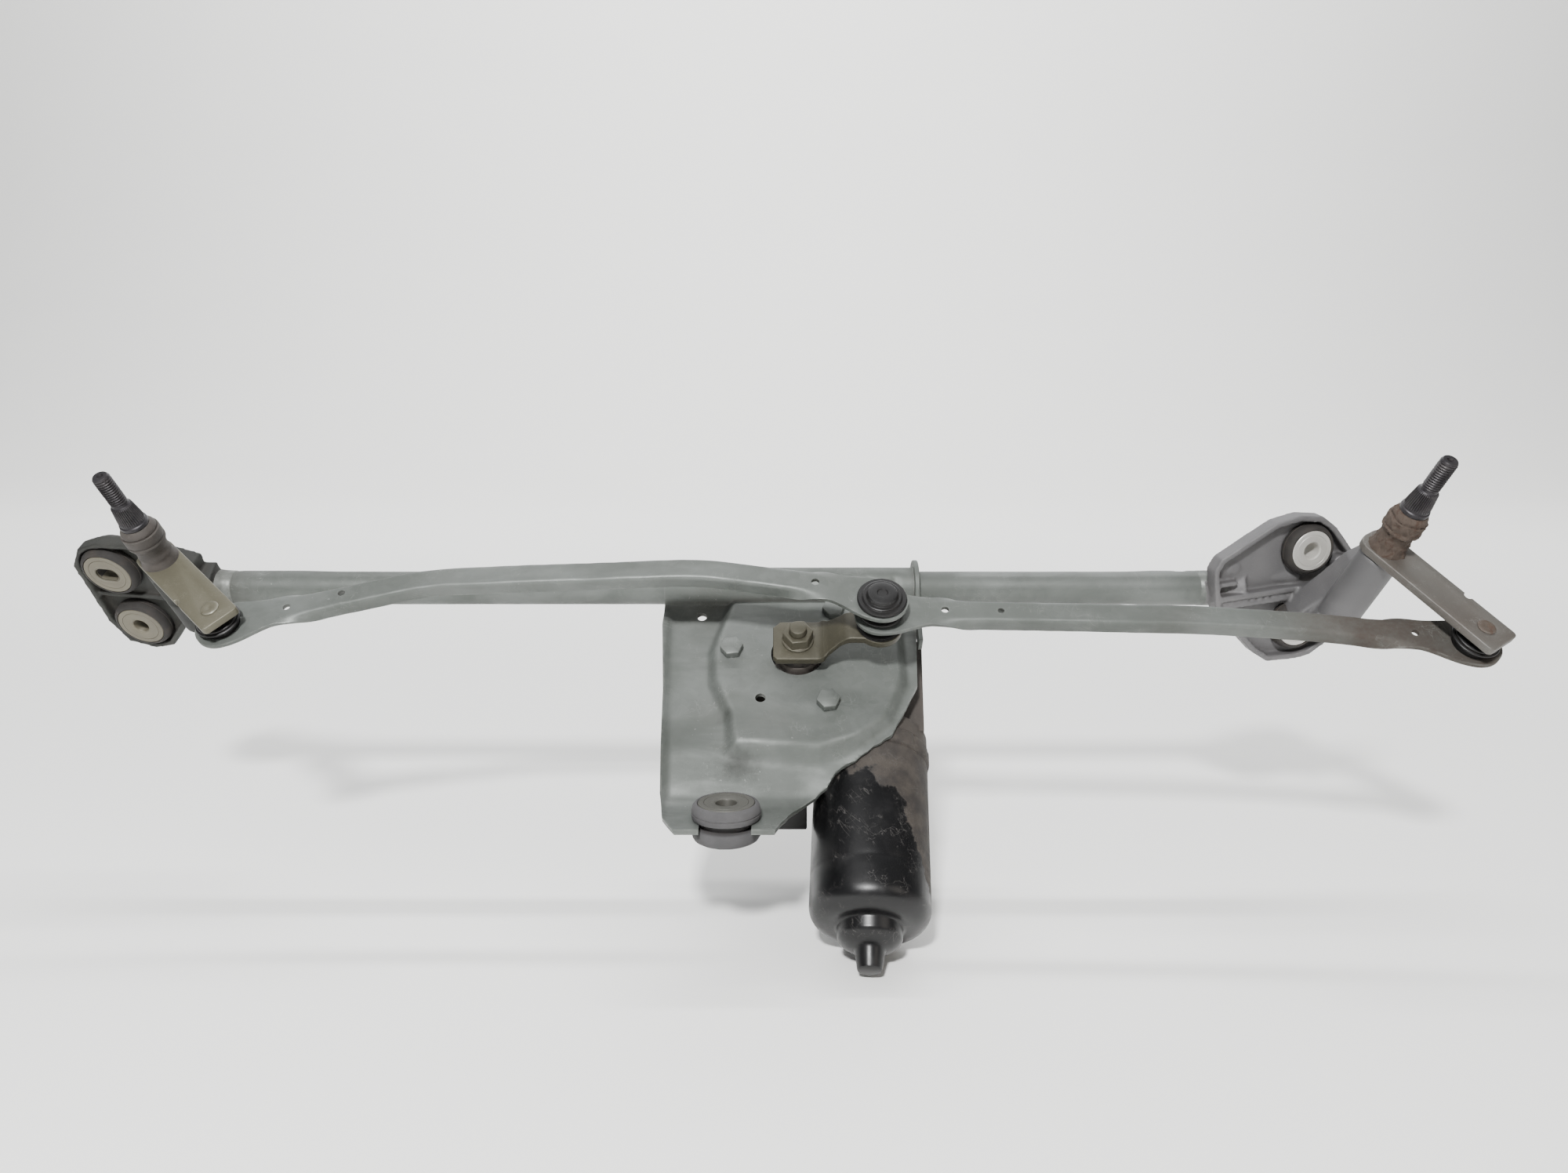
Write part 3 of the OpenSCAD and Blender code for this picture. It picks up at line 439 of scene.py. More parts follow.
def old_zinc(at):
    cloud = at.cloud(36, 4, 0.5, 0.4)
    fine = at.cloud(0.9, 3, 0.6)
    spangle = at.crystals(3.4, "Color").part(0)
    colour = cloud.between(0.34, 0.66).over(paint(DULL), paint(TONE))
    colour = (spangle * 0.1 + fine * 0.12).over(colour, paint(PALE))
    stain = at.stretched((2.6, 1, 1)).cloud(20, 4, 0.5, 0.6).between(0.42, 0.66)
    colour = (stain * 0.6).over(colour, paint(DULL))
    oxide = at.cloud(2.2, 3, 0.5).between(0.68, 0.74) * at.cloud(30, 2).between(0.5, 0.62)
    colour = (oxide * 0.6).over(colour, paint("b8bcb8"))
    out_here = at.part(0).maths("ABSOLUTE", at.part(0)).between(*WET_ENDS)
    # brown dust and painted shade: deepest in corners, and at the rods' wet ends
    brown_and_shade = corner_shade_and_dirt(at, 6) * 0.9 + at.cloud(60, 3, 0.5).between(0.5, 0.8) * 0.5
    brown_and_shade = brown_and_shade + out_here * (0.5 + at.cloud(18, 5, 0.6)) * 2.0
    colour = (brown_and_shade * (0.55 + at.cloud(2.2, 4) * 0.5) * 0.5).over(colour, paint(DUST_AND_SHADE))
    marks = scratches(at, 26, 5)
    colour = (marks * 0.22).over(colour, paint("a9ada8"))
    rubbed = worn(at, 1.0, 0.62) * at.cloud(6, 4).between(0.4, 0.7)
    colour = (rubbed * 0.4).over(colour, paint("a9ada7"))
    rough = 0.4 + fine * 0.14 + stain * 0.16 - rubbed * 0.12 + brown_and_shade * 0.12
    height = fine * 0.05 + cloud * 0.25 - marks * 0.06 + oxide * 0.08
    return colour, rough, height


def with_painted_shade(under, places, dirt_and_shade, amount):
    """The same surface with painted shade: a dark colour laid round a few places."""
    def recipe(at):
        colour, roughness, height = under(at)
        for place, reach in places:
            away = at.node("ShaderNodeVectorMath", {"operation": "DISTANCE"},
                           {0: at, 1: tuple(place / MM)}, "Value")
            # painted shade round each place, fading out with distance
            near = 1 - (away + at.cloud(5, 4, 0.6) * reach).between(
                reach * 0.3, reach * 1.4)
            colour = (near * amount).over(colour, paint(dirt_and_shade))
        return colour, roughness, height
    return recipe


# %% [markdown]
# ## Castings, rubber, plastic and the greasy parts
#
# Die-cast zinc or aluminium goes grey with a purple cast and has a fine sandy skin.
# The rubber of the mounts is matt, with bloom on it. Steel that lives in grease picks
# up brown dust. The same four or five layers make them all, in other amounts, so one
# recipe with a handful of values serves them.

# %% A general aged surface
def aged(base, second, dirt_and_shade, dirt_and_shade_amount, grain=1.2, rough=0.6, edge="9a9a94",
         edge_amount=0.3, marks_amount=0.3, cloud_size=22, depth=0.12, reach=4):
    def recipe(at):
        cloud = at.cloud(cloud_size, 3, 0.5, 0.3)
        fine = at.cloud(grain, 4, 0.6)
        colour = cloud.between(0.25, 0.75).over(paint(base), paint(second))
        colour = (fine.between(0.45, 0.8) * 0.1).over(colour, paint(edge))
        # the dirt colour, laid deepest in corners by ambient occlusion: dirt, and painted
        # shade in the corners
        soil_and_shade = corner_shade_and_dirt(at, reach) * 0.9 + at.cloud(cloud_size, 5, 0.5).between(
            0.5, 0.8) * 0.45
        soil_and_shade = soil_and_shade * (0.65 + at.cloud(grain * 2, 3) * 0.5) * dirt_and_shade_amount
        colour = soil_and_shade.maths("MINIMUM", soil_and_shade, 1.0).over(colour, paint(dirt_and_shade))
        marks = scratches(at, 12, 2.4, 0.010)
        rubbed = worn(at, 0.7, 0.6) * at.cloud(5, 4).between(0.36, 0.66)
        bright = marks * marks_amount + rubbed * edge_amount
        colour = bright.maths("MINIMUM", bright, 1.0).over(colour, paint(edge))
        roughness = rough + fine * 0.15 - bright * 0.2 + soil_and_shade * 0.15
        return colour, roughness, fine * depth + cloud * depth - marks * 0.05
    return recipe


def rusty(base, second, rust, amount, **values):
    """An aged surface with patches of red-brown rust over it."""
    under = aged(base, second, "3c3027", 0.6, **values)

    def recipe(at):
        colour, roughness, height = under(at)
        patch = at.cloud(5, 6, 0.7, 0.6).between(0.5, 0.66) * amount
        red = at.cloud(0.7, 3).over(paint(rust), paint("3a2417"))
        return (patch.over(colour, red), roughness + patch * 0.25,
                height + patch * at.cloud(0.5, 3) * 0.25)
    return recipe


# %% [markdown]
# ## Black enamel under dust
#
# The motor's can is sprayed black. The enamel stays glossy where it is kept clean
# and goes brown and matt where dust settles. It could be two materials; one is
# simpler, with a mask that is a plain distance along the can's axis, made ragged by
# noise and drawn further down on the can's right side.

# %% Black enamel with dust on its upper part
CAN_MIDDLE = 70                         # millimetres: where the can's axis stands
CAN_AXIS = (0.054, 0.765, 0.642)        # the way the axis points
CAN_START = 93.2                        # distances along it count from here
TIDE_LINE = 63                          # how far down the can the dust comes


def enamel(at):
    """The motor's can: glossy below, and dusty brown above a ragged tide line."""
    across = at.part(0) - CAN_MIDDLE
    along = (at.part(0) * CAN_AXIS[0] + at.part(1) * CAN_AXIS[1]
             + at.part(2) * CAN_AXIS[2] - CAN_START)
    side = (across - 6).maths("MAXIMUM", across - 6, 0.0) * 3.0
    ragged = at.cloud(12, 6, 0.6, 0.5) * 44 - 22
    dusty = (along + TIDE_LINE + side + across * 0.3 + ragged).between(-2.0, 2.0)
    film = at.cloud(26, 5, 0.65).between(0.42, 0.7)
    fine = at.cloud(0.7, 4, 0.6)
    colour = (film * 0.35).over(paint("0e0e10"), paint("2b2929"))
    dust = at.cloud(9, 5, 0.6).between(0.3, 0.7).over(paint("3d3835"), paint("575049"))
    colour = (dusty * (0.75 + fine * 0.3)).over(colour, dust)
    marks = scratches(at, 16, 3.5, 0.012, 0.9)
    colour = (marks * 0.45).over(colour, paint("6e6b68"))
    rough = 0.3 + film * 0.16 + dusty * 0.4 + marks * 0.1
    height = fine * (0.03 + dusty * 0.12) + at.cloud(14, 2) * 0.2 - marks * 0.04
    return colour, rough, height

# %% [markdown]
# ## A finish for every slot
#
# The CAD names a material slot for each node. Each slot gets one finish here, and a
# piece modelled below takes the finish of the slot it stands for, so the two always
# agree. A few pieces get their own variation, because the two ends of the linkage
# have aged differently.

# %% Finishes
FINISHES = {
    "galvanised_steel": (old_zinc, 0.35, 0.3),
    # the bracket's zinc with painted shade at the pan's left step and below the pan's
    # lower edge, where the sheet turns away from the light
    "bracket_zinc": (with_painted_shade(old_zinc, [(MECH @ Vector((-35, -36, 0)), 7),
                                        (MECH @ Vector((-28, -60, -6)), 15)],
                             "2f302b", 0.8), 0.35, 0.3),
    # the left casting, painted near black: painted shade, because it lies in shadow
    "dark_casting": (aged("2c2d2a", "3c3d38", "4a4038", 0.7, 0.8, 0.62,
                          "6c6c64", 0.3, 0.1, 18, 0.16, 6), 0.15, 0.45),
    "grey_casting": (aged("757475", "878586", "4a4643", 0.6, 0.7, 0.5,
                          "a9a9a8", 0.55, 0.15, 40, 0.1, 7), 0.3, 0.35),
    "gear_casting": (aged("4c4641", "5a534d", "3a312a", 0.6, 1.0, 0.66,
                          "7d766e", 0.3, 0.2, 18, 0.14, 6), 0.15, 0.4),
    "grey_rubber": (aged("565556", "626162", "4a4541", 0.6, 0.8, 0.78,
                         "8a888c", 0.25, 0.1, 9, 0.06, 4), 0.0, 0.35),
    "black_rubber": (aged("24211f", "322e2b", "685b4f", 0.6, 0.8, 0.74,
                          "5b5650", 0.25, 0.1, 9, 0.06, 4), 0.0, 0.35),
    "zinc_steel": (aged("777163", "8f8976", "4a4337", 0.9, 0.9, 0.45,
                        "a9a593", 0.4, 0.15, 30, 0.06, 7), 0.35, 0.3),
    "dull_zinc": (aged("62615b", "706f68", "403b34", 0.8, 0.9, 0.45,
                       "8f8d84", 0.4, 0.15, 30, 0.06, 7), 0.35, 0.3),
    "black_plastic": (aged("121213", "1d1c1c", "35302b", 0.4, 0.9, 0.36,
                           "4b4845", 0.2, 0.1, 20, 0.05, 3), 0.0, 0.3, 0.35),
    "black_enamel": (enamel, 0.0, 0.3, 0.4),
    "ferrite": (aged("3b3b3d", "4a4a4d", "332f2c", 0.3), 0.0, 0.3),
    "bronze": (aged("8a6a3c", "a5834e", "4b3b28", 0.4), 0.7, 0.3),
    "phenolic": (aged("5a3f26", "6b4c2e", "3a2a1c", 0.3), 0.0, 0.3),
    "carbon": (aged("242424", "303030", "1a1a1a", 0.3), 0.0, 0.3),
    "ground_steel": (aged("8c8c8e", "9c9c9e", "4b4036", 0.4, 0.6, 0.32), 0.85, 0.2),
    "core_steel": (aged("6c6c6e", "7c7c7e", "4b4540", 0.3), 0.7, 0.3),
    "copper": (aged("9a5b36", "b16c42", "4b3020", 0.3), 0.8, 0.3),
    "nylon": (aged("bdb69c", "cbc5ad", "8a7f68", 0.3, 1.4, 0.5), 0.0, 0.2),
    "brass": (aged("a3853f", "b6984e", "5c4a26", 0.3), 0.8, 0.2),
    "greasy_steel": (aged("4d4a3c", "5d5948", "2f271e", 0.8, 0.9, 0.42,
                          "8f8b7a", 0.5, 0.2, 30, 0.06, 4), 0.35, 0.3),
    "dark_steel": (aged("2b282d", "3b383c", "453b34", 0.5, 0.6, 0.38,
                        "8f8d8b", 0.16, 0.1, 10, 0.05, 2), 0.5, 0.25),
    "dirty_steel": (aged("4c4743", "5f5853", "33291f", 0.8, 0.8, 0.6,
                         "8f8a84", 0.35, 0.2, 10, 0.14, 4), 0.3, 0.45),
    # the right-hand end has rusted; the left-hand end has not, and the dark of its casting
    # is painted shade
    "rusty_steel": (rusty("53463c", "62544a", "553827", 0.6, grain=0.7, rough=0.75,
                          edge="6f6255", depth=0.16), 0.1, 0.45),
    "lever_left": (aged("6e6a58", "787462", "443b30", 0.45, 0.8, 0.46,
                        "b5b3a2", 0.6, 0.2, 34, 0.06, 5), 0.3, 0.3),
    "lever_right": (aged("69615a", "7b7a75", "4b3d32", 0.5, 0.8, 0.46,
                         "b9b7b2", 0.65, 0.4, 30, 0.06, 5), 0.3, 0.3),
    "bright_zinc": (aged("e6e3db", "f8f6f1", "857a6c", 0.3, 0.9, 0.34,
                         "ffffff", 0.4, 0.2, 20, 0.05, 3), 0.3, 0.3),
    "rivet_rust": (rusty("5f5248", "6b5e53", "6b4630", 0.5, grain=0.6), 0.3, 0.4),
}
made = {name: finish_of(name, *values) for name, values in FINISHES.items()}
print(len(made), "finishes")


def dress(piece, finish):
    piece.data.materials.clear()
    piece.data.materials.append(made[finish])


# %% [markdown]
# ## The spindles: a lathe, then a thread and splines
#
# Each spindle runs down through its bearing and ends above the bonnet in a splined
# cone and an M8 thread. It could be three cylinders. It is one turned body instead,
# because thread and splines are only small changes of radius: after the spin, each
# vertex moves in or out by where it stands along the helix, or round the cone.

# %% Spindles
PITCH = 1.25
SPLINES = 36
THREAD = (38.2, 54.0)
CONE = (27.2, 36.4)


def spindle(name, bearing, worn_turn):
    groove = -LEVER_T - 0.3 - bearing - 1.6
    foot = groove - 2.5
    profile = [(0, foot), (4.3, foot), (5, foot + 0.7), (5, groove), (4.2, groove),
               (4.2, groove + 1.2), (5, groove + 1.2), (5, 24.1), (6.4, 24.2),
               (6.6, 24.9), (6.4, 26.0), (5.9, 26.4)]
    cone_steps = 8
    for i in range(cone_steps + 1):
        t = i / cone_steps
        profile.append((5.9 - 1.2 * t, CONE[0] + (CONE[1] - CONE[0]) * t))
    profile += [(4.1, 37.0), (3.75, 37.4), (3.75, THREAD[0])]
    z = THREAD[0]
    while z < THREAD[1]:
        z += PITCH / 6
        profile.append((3.72, z))
    profile += [(3.5, 54.5), (3.1, 55), (1.6, 55), (1.1, 54.2), (0, 54.0)]
    piece = turned(name, profile, 144)

    def cut_thread(co):
        r, angle = math.hypot(co.x, co.y), math.atan2(co.y, co.x)
        if r < 0.01:
            return co
        grow = 0.0
        if THREAD[0] - 0.5 < co.z < THREAD[1] + 0.6 and r > 3.3:
            phase = (co.z / PITCH - angle / math.tau) % 1.0
            ridge = 1 - abs(2 * phase - 1)
            ends = blend01(THREAD[0] - 0.6, THREAD[0] + 1.5, co.z) * (
                1 - blend01(THREAD[1] - 1.0, THREAD[1] + 0.7, co.z))
            grow = 0.62 * (ridge - 0.55) * ends
            flat = noise.noise(Vector((co.x * 0.6, co.y * 0.6, co.z * 0.25 + worn_turn)))
            grow = min(grow, 0.12) if flat > 0.34 else grow
        elif CONE[0] - 0.1 < co.z < CONE[1] + 0.1:
            wave = abs(math.sin(angle * SPLINES / 2))
            ends = blend01(CONE[0] - 0.2, CONE[0] + 1.2, co.z)
            grow = (wave - 0.75) * 0.5 * ends
        return Vector((co.x * (r + grow) / r, co.y * (r + grow) / r, co.z))

    reshape(piece, cut_thread)
    smooth(piece, 28)
    return piece


seat(spindle("left_spindle_turned", 42, 0.0), LEFT_SPINDLE, "left_pivot",
     "dark_steel", "left_spindle")
seat(spindle("right_spindle_turned", 46, 3.0), RIGHT_SPINDLE, "right_pivot",
     "dark_steel", "right_spindle")

# %% [markdown]
# ## The dirt sleeves round the spindles
#
# A moulded sleeve keeps water out of each bearing. The left one still shows its
# mouldings; the right one is caked with rust and grit, so the same lathe profile gets
# a layer of lumps from noise.

# %% Sleeves
def dirt_sleeve(name, lumps, seed):
    profile = [(5, 0), (8.9, 0), (8.7, 1.0), (8.0, 2.4), (7.6, 4.4), (7.9, 5.6),
               (7.5, 6.6), (7.5, 9.6), (7.9, 10.6), (7.7, 11.4), (8.3, 12.4),
               (8.9, 13.0), (9.0, 14.0), (8.5, 14.7), (8.9, 15.4), (9.0, 18.9),
               (8.9, 19.8), (8.1, 20.1), (8.1, 20.6), (8.3, 21.0), (8.0, 21.9),
               (7.4, 22.9), (7.0, 23.5), (6.6, 24.0), (5, 24.0), (5, 0)]
    dense = [profile[0]]
    for (r0, z0), (r1, z1) in zip(profile, profile[1:]):
        steps = max(1, int((abs(z1 - z0) if min(r0, r1) > 6 else 0) / 0.8))
        dense += [(r0 + (r1 - r0) * i / steps, z0 + (z1 - z0) * i / steps)
                  for i in range(1, steps + 1)]
    piece = turned(name, dense, 96)

    def cake(co):
        r = math.hypot(co.x, co.y)
        if r < 6:
            return co
        place = Vector((co.x, co.y, co.z + seed))
        lump = noise.noise(place * 0.35) + 0.5 * noise.noise(place * 0.9)
        lump += 0.35 * noise.noise(place * 2.2)
        grow = (lump * 0.45 - 0.2) * lumps
        limit = min(r + grow, 9.0)
        return Vector((co.x * limit / r, co.y * limit / r, co.z))

    reshape(piece, cake)
    smooth(piece, 50)
    return piece


seat(dirt_sleeve("left_sleeve_moulded", 0.12, 0), LEFT_SPINDLE, "left_pivot",
     "dirty_steel", "left_sleeve")
seat(dirt_sleeve("right_sleeve_caked", 1.6, 9), RIGHT_SPINDLE, "right_pivot",
     "dirty_steel", "right_sleeve")

# %% [markdown]
# ## Rubber mounts
#
# Five rubber grommets hang the linkage in the car. Each is a fat ring with a groove
# for the sheet or casting, a soft shoulder, and the faint line where the two halves
# of its mould met. A flanged steel sleeve sits in it so that the bolt can be tight.

# %% Grommets and their steel sleeves
def grommet(name, diameter):
    r, edge = diameter / 2, diameter / 2 - 3
    inner, groove = 5.6, 11.5
    profile = [
        (inner, -17), (r - 3.4, -17), (r - 2.2, -16.7), (r - 1.0, -16.0),
        (r - 0.3, -14.8), (r, -13.2), (r, -10.9), (r - 0.4, -10.3), (r - 1.0, -10.1),
        (groove, -10.1), (groove, -6.9), (r - 1.0, -6.9), (r - 0.3, -6.7), (r, -6.1),
        (r, -4.6), (r - 0.25, -4.4), (r - 0.25, -4.0), (r, -3.8), (r - 0.1, -3.0),
        (r - 0.6, -1.4), (r - 1.5, -0.35), (r - 2.3, 0), (edge + 0.35, -0.05),
        (edge + 0.1, -0.5), (edge + 0.1, -1.3), (inner, -1.3), (inner, -17)]
    piece = turned(name, profile, 120)

    def seam(co):
        radius, angle = math.hypot(co.x, co.y), math.atan2(co.y, co.x)
        if radius < r - 2.5:
            return co
        near = min(abs(angle + 1.75), abs(angle - 1.39))
        grow = 0.22 * max(0.0, 1 - near / 0.045) - 0.22
        grow += 0.12 * noise.noise(co * 0.35)
        return Vector((co.x * (radius + grow) / radius,
                       co.y * (radius + grow) / radius, co.z))

    reshape(piece, seam)
    smooth(piece, 40)
    return piece


def steel_sleeve(name, diameter, hole):
    r = diameter / 2 - 3
    profile = [
        (hole, -17), (hole + 1.4, -17), (hole + 1.4, -1.2), (r - 0.1, -1.2), (r, -1.0),
        (r, -0.35), (r - 0.3, 0), (r * 0.80, 0), (r * 0.80 - 0.15, -0.18),
        (r * 0.80 - 0.3, 0), (hole + 1.9, 0), (hole + 1.6, -0.12), (hole + 0.9, -0.12),
        (hole + 0.25, -0.5), (hole, -1.0), (hole, -17)]
    piece = turned(name, profile, 96)
    smooth(piece, 30)
    return piece


def stadium(r, half):
    around = [math.pi * i / 20 for i in range(21)]
    return ([(half + r * math.sin(a), -r * math.cos(a)) for a in around]
            + [(-half - r * math.sin(a), r * math.cos(a)) for a in around])


def slotted_sleeve(name, diameter, hole, half_slot):
    """The upper left sleeve has a long hole, so that the linkage can be lined up."""
    disc = turned(name, [(0, -1.2), (diameter / 2 - 3.1, -1.2), (diameter / 2 - 3, -1.0),
                         (diameter / 2 - 3, -0.3), (diameter / 2 - 3.3, 0),
                         (9.6, 0), (9.4, -0.18), (9.2, 0), (0, 0)], 96)
    cut(disc, slab("slot", stadium(hole, half_slot), -3, 3))
    wall = slab("wall", stadium(hole + 1.4, half_slot), -17, -1.2)
    cut(wall, slab("slot", stadium(hole, half_slot), -20, 3))
    rim = slab("rim", stadium(hole + 0.9, half_slot), -1.0, 0.0)
    cut(rim, slab("slot", stadium(hole, half_slot), -3, 3))
    modify(rim, "BEVEL", width=0.25, segments=2, limit_method="ANGLE")
    piece = fused(name, [disc, wall, rim])
    smooth(piece, 30)
    return piece


MOUNT_PLACES = [
    ("lower", SCALE @ shift(0, 0, 8.5), 31, 4.5, "grey_rubber"),
    ("left_upper", LEFT_MOUNTS, 30, 0, "black_rubber"),
    ("left_lower", LEFT_MOUNTS @ Matrix.Translation(LEFT_PAIR), 30, 4, "black_rubber"),
    ("right_upper", RIGHT_MOUNTS, 27, 4, "black_rubber"),
    ("right_lower", RIGHT_MOUNTS @ Matrix.Translation(RIGHT_PAIR), 27, 4, "black_rubber"),
]
for end, place, diameter, hole, rubber in MOUNT_PLACES:
    seat(grommet(end + "_grommet_soft", diameter), place, "frame", rubber,
         end + "_grommet")
    if hole:
        sleeve = steel_sleeve(end + "_sleeve_turned", diameter, hole)
    else:
        sleeve = slotted_sleeve(end + "_sleeve_slotted", diameter, 4, 2)
    seat(sleeve, place, "frame", "zinc_steel", end + "_sleeve")

# %% [markdown]
# ## The motor's can
#
# A deep-drawn steel can with a rounded shoulder, a stepped boss for the rear bearing
# and a crimped rim where it meets the gearbox. One profile gives the draw marks and
# steps; the crimps and the small rivet are added by moving vertices.

# %% Motor can
def motor_can():
    shoulder = [(18.4 + 9.0 * math.sin(a), 9.0 - 9.0 * math.cos(a))
                for a in [math.pi / 2 * i / 10 for i in range(11)]]
    profile = [(0, -19.5), (4.4, -19.5), (5.3, -19.0), (5.6, -18.2), (6.6, -11.2),
               (7.2, -10.1), (9.6, -9.4), (12.4, -7.6), (13.9, -6.2), (14.5, -4.8),
               (14.6, -1.2), (14.9, -0.5), (15.6, -0.1), (16.6, 0.0)]
    profile += shoulder
    profile += [(27.4, z) for z in (13, 17, 21)]
    profile += [(27.25, 22), (27.4, 23)] + [(27.45, 26 + 3.5 * i) for i in range(16)]
    profile += [(27.5, 80.6), (27.1, 81.2), (27.1, 82.2), (28.1, 83.0), (28.4, 84.0),
                (28.4, 88.6), (28.1, 89.4), (27.4, 90.0), (25.5, 90.0), (25.5, 10.0),
                (17.5, 3.0), (0, 3.0)]
    piece = turned("motor_can", profile, 128)

    def dent(co):
        r, angle = math.hypot(co.x, co.y), math.atan2(co.y, co.x)
        if r < 26.5 or co.z < 9:
            return co
        grow = 0.10 * noise.noise(Vector((co.x * 0.06, co.y * 0.06, co.z * 0.05)))
        if co.z > 83.5:
            turn_on = (angle * 12 / math.tau) % 1.0
            grow -= 0.7 * max(0.0, 1 - abs(turn_on - 0.5) / 0.08)
        for z in (62, 30):
            away = math.hypot((angle - 0.5) * 27, co.z - z)
            grow -= 0.7 * max(0.0, 1 - away / 2.4)
        return Vector((co.x * (r + grow) / r, co.y * (r + grow) / r, co.z))

    reshape(piece, dent)
    smooth(piece, 34)
    return piece


seat(motor_can(), MOTOR_AXIS @ shift(0, 0, -124), "frame", "black_enamel", "motor_yoke")

# %% [markdown]
# ## The cap and the boots at the crank's ball joint
#
# The two rods share one pin on the crank. A snap-on cap covers the upper ball, and
# soft boots with several lips fill the space below and between the rods.

# %% Cap and boots
def crank_cap():
    profile = [(0, 0.9), (8.7, 0.9), (8.8, 0), (11.0, 0), (11.6, 0.4), (11.6, 1.3),
               (11.2, 1.8), (9.5, 1.85), (9.2, 2.1), (9.2, 2.6), (8.8, 2.85),
               (7.6, 2.85), (7.3, 3.1), (7.1, 4.1), (6.6, 4.75), (5.6, 5.0),
               (2.6, 4.85), (2.2, 4.5), (0, 4.45)]
    piece = turned("ball_cap_moulded", profile, 96)
    smooth(piece, 30)
    return piece


def boot(name, low, high, r_low, r_high, lips):
    """A stack of soft rings."""
    profile = [(6, low)]
    for i in range(lips):
        z0 = low + (high - low) * i / lips
        z1 = low + (high - low) * (i + 1) / lips
        r = r_low + (r_high - r_low) * (i + 0.5) / lips
        span = z1 - z0
        profile += [(r - 0.9, z0), (r - 0.2, z0 + span * 0.2), (r, z0 + span * 0.5),
                    (r - 0.25, z0 + span * 0.8), (r - 1.1, z1 - span * 0.04)]
    profile += [(6, high), (6, low)]
    piece = turned(name, profile, 72)
    smooth(piece, 60)
    return piece


seat(crank_cap(), MECH @ shift(CRANK, 0, 41.1), "left_link", "black_plastic", "ball_cap")
for side, lever_end, crank_boot, lever_boot in [
        ("left", TO_MECH @ LEFT_SPINDLE @ LEFT_TIP,
         (32.9, 34.4, 11, 10.6, 1), (-9.3, -6.7, 11, 9, 2)),
        ("right", TO_MECH @ RIGHT_SPINDLE @ RIGHT_TIP,
         (22.7, 24.6, 11, 10.4, 2), (-9.1, -6.5, 11, 9, 2))]:
    boots = [carried(boot("crank_boot", *crank_boot), shift(CRANK, 0, 0)),
             carried(boot("lever_boot", *lever_boot), lever_end)]
    seat(fused(side + "_boots", boots), MECH, side + "_link", "black_plastic",
         side + "_rod_boots")

# %% [markdown]
# ## The motor bracket: one pressed sheet
#
# The bracket is the largest piece in view: zinc-coated sheet with a saddle over the
# cross tube, a raised pan that the motor bolts against, and a foot folded up into the
# lower mount. A flat grid is laid along the sheet's section, lifted by smooth steps
# where the press tool lifted it, cut to its outline, and only then given a thickness,
# so that every fold keeps the same soft radius that a real pressing has.

# %% The bracket's section and outline
SHEET = 2.5
PAN = [(-34, 36), (-38, 22), (-43, 4), (-42, -16), (-34, -34), (-32, -54), (10, -58),
       (28, -50), (43, -38), (52, -16), (52, 36)]
PLATE = [(-68, 60), (-68, 20), (-65, -20), (-63, -74), (-60, -92), (-52, -106),
         (-44, -112), (-14, -112), (-9, -98), (-3, -86), (2, -80), (13, -70), (17, -63),
         (29, -55), (44, -44), (58, -16), (60, 17), (60, 60)]


def section_height(y):
    """Height of the sheet outside the pan, by how far up the bracket it is."""
    if y > -52:
        return -5.0
    if y > -78:
        return -5.0 - 5.6 * (-52 - y) / 26
    return -10.6 + (-78 - y) * math.tan(math.radians(40))


def soft_height(y):
    """The same with its corners rounded: the mean over 4 mm each way."""
    samples = [section_height(y + k) for k in range(-4, 5)]
    return sum(samples) / len(samples)


def depth_inside(x, y, outline):
    """Distance to the outline, positive inside it."""
    best, inside = 1e9, False
    for (ax, ay), (bx, by) in zip(outline, outline[1:] + outline[:1]):
        dx, dy = bx - ax, by - ay
        t = max(0.0, min(1.0, ((x - ax) * dx + (y - ay) * dy) / (dx * dx + dy * dy)))
        best = min(best, math.hypot(x - ax - t * dx, y - ay - t * dy))
        if (ay > y) != (by > y) and x < ax + (y - ay) / (by - ay) * dx:
            inside = not inside
    return best if inside else -best


def ragged(points):
    """Sheared edges carry small burrs: extra points, each a little off the line."""
    out = []
    for i, (a, b) in enumerate(zip(points, points[1:] + points[:1])):
        out.append(a)
        burred = 8 <= i <= 14
        steps = int((Vector(b) - Vector(a)).length / 3.2) if burred else 0
        for k in range(1, steps):
            t = k / steps
            x, y = a[0] + (b[0] - a[0]) * t, a[1] + (b[1] - a[1]) * t
            off = noise.noise(Vector((x * 0.5, y * 0.5, 4.0)))
            off = off * 1.1 + (1.0 if noise.noise(Vector((x * 0.9, y, 1.0))) > 0.42 else 0)
            out.append((x + off * 0.7, y - off * 0.7))
    return out


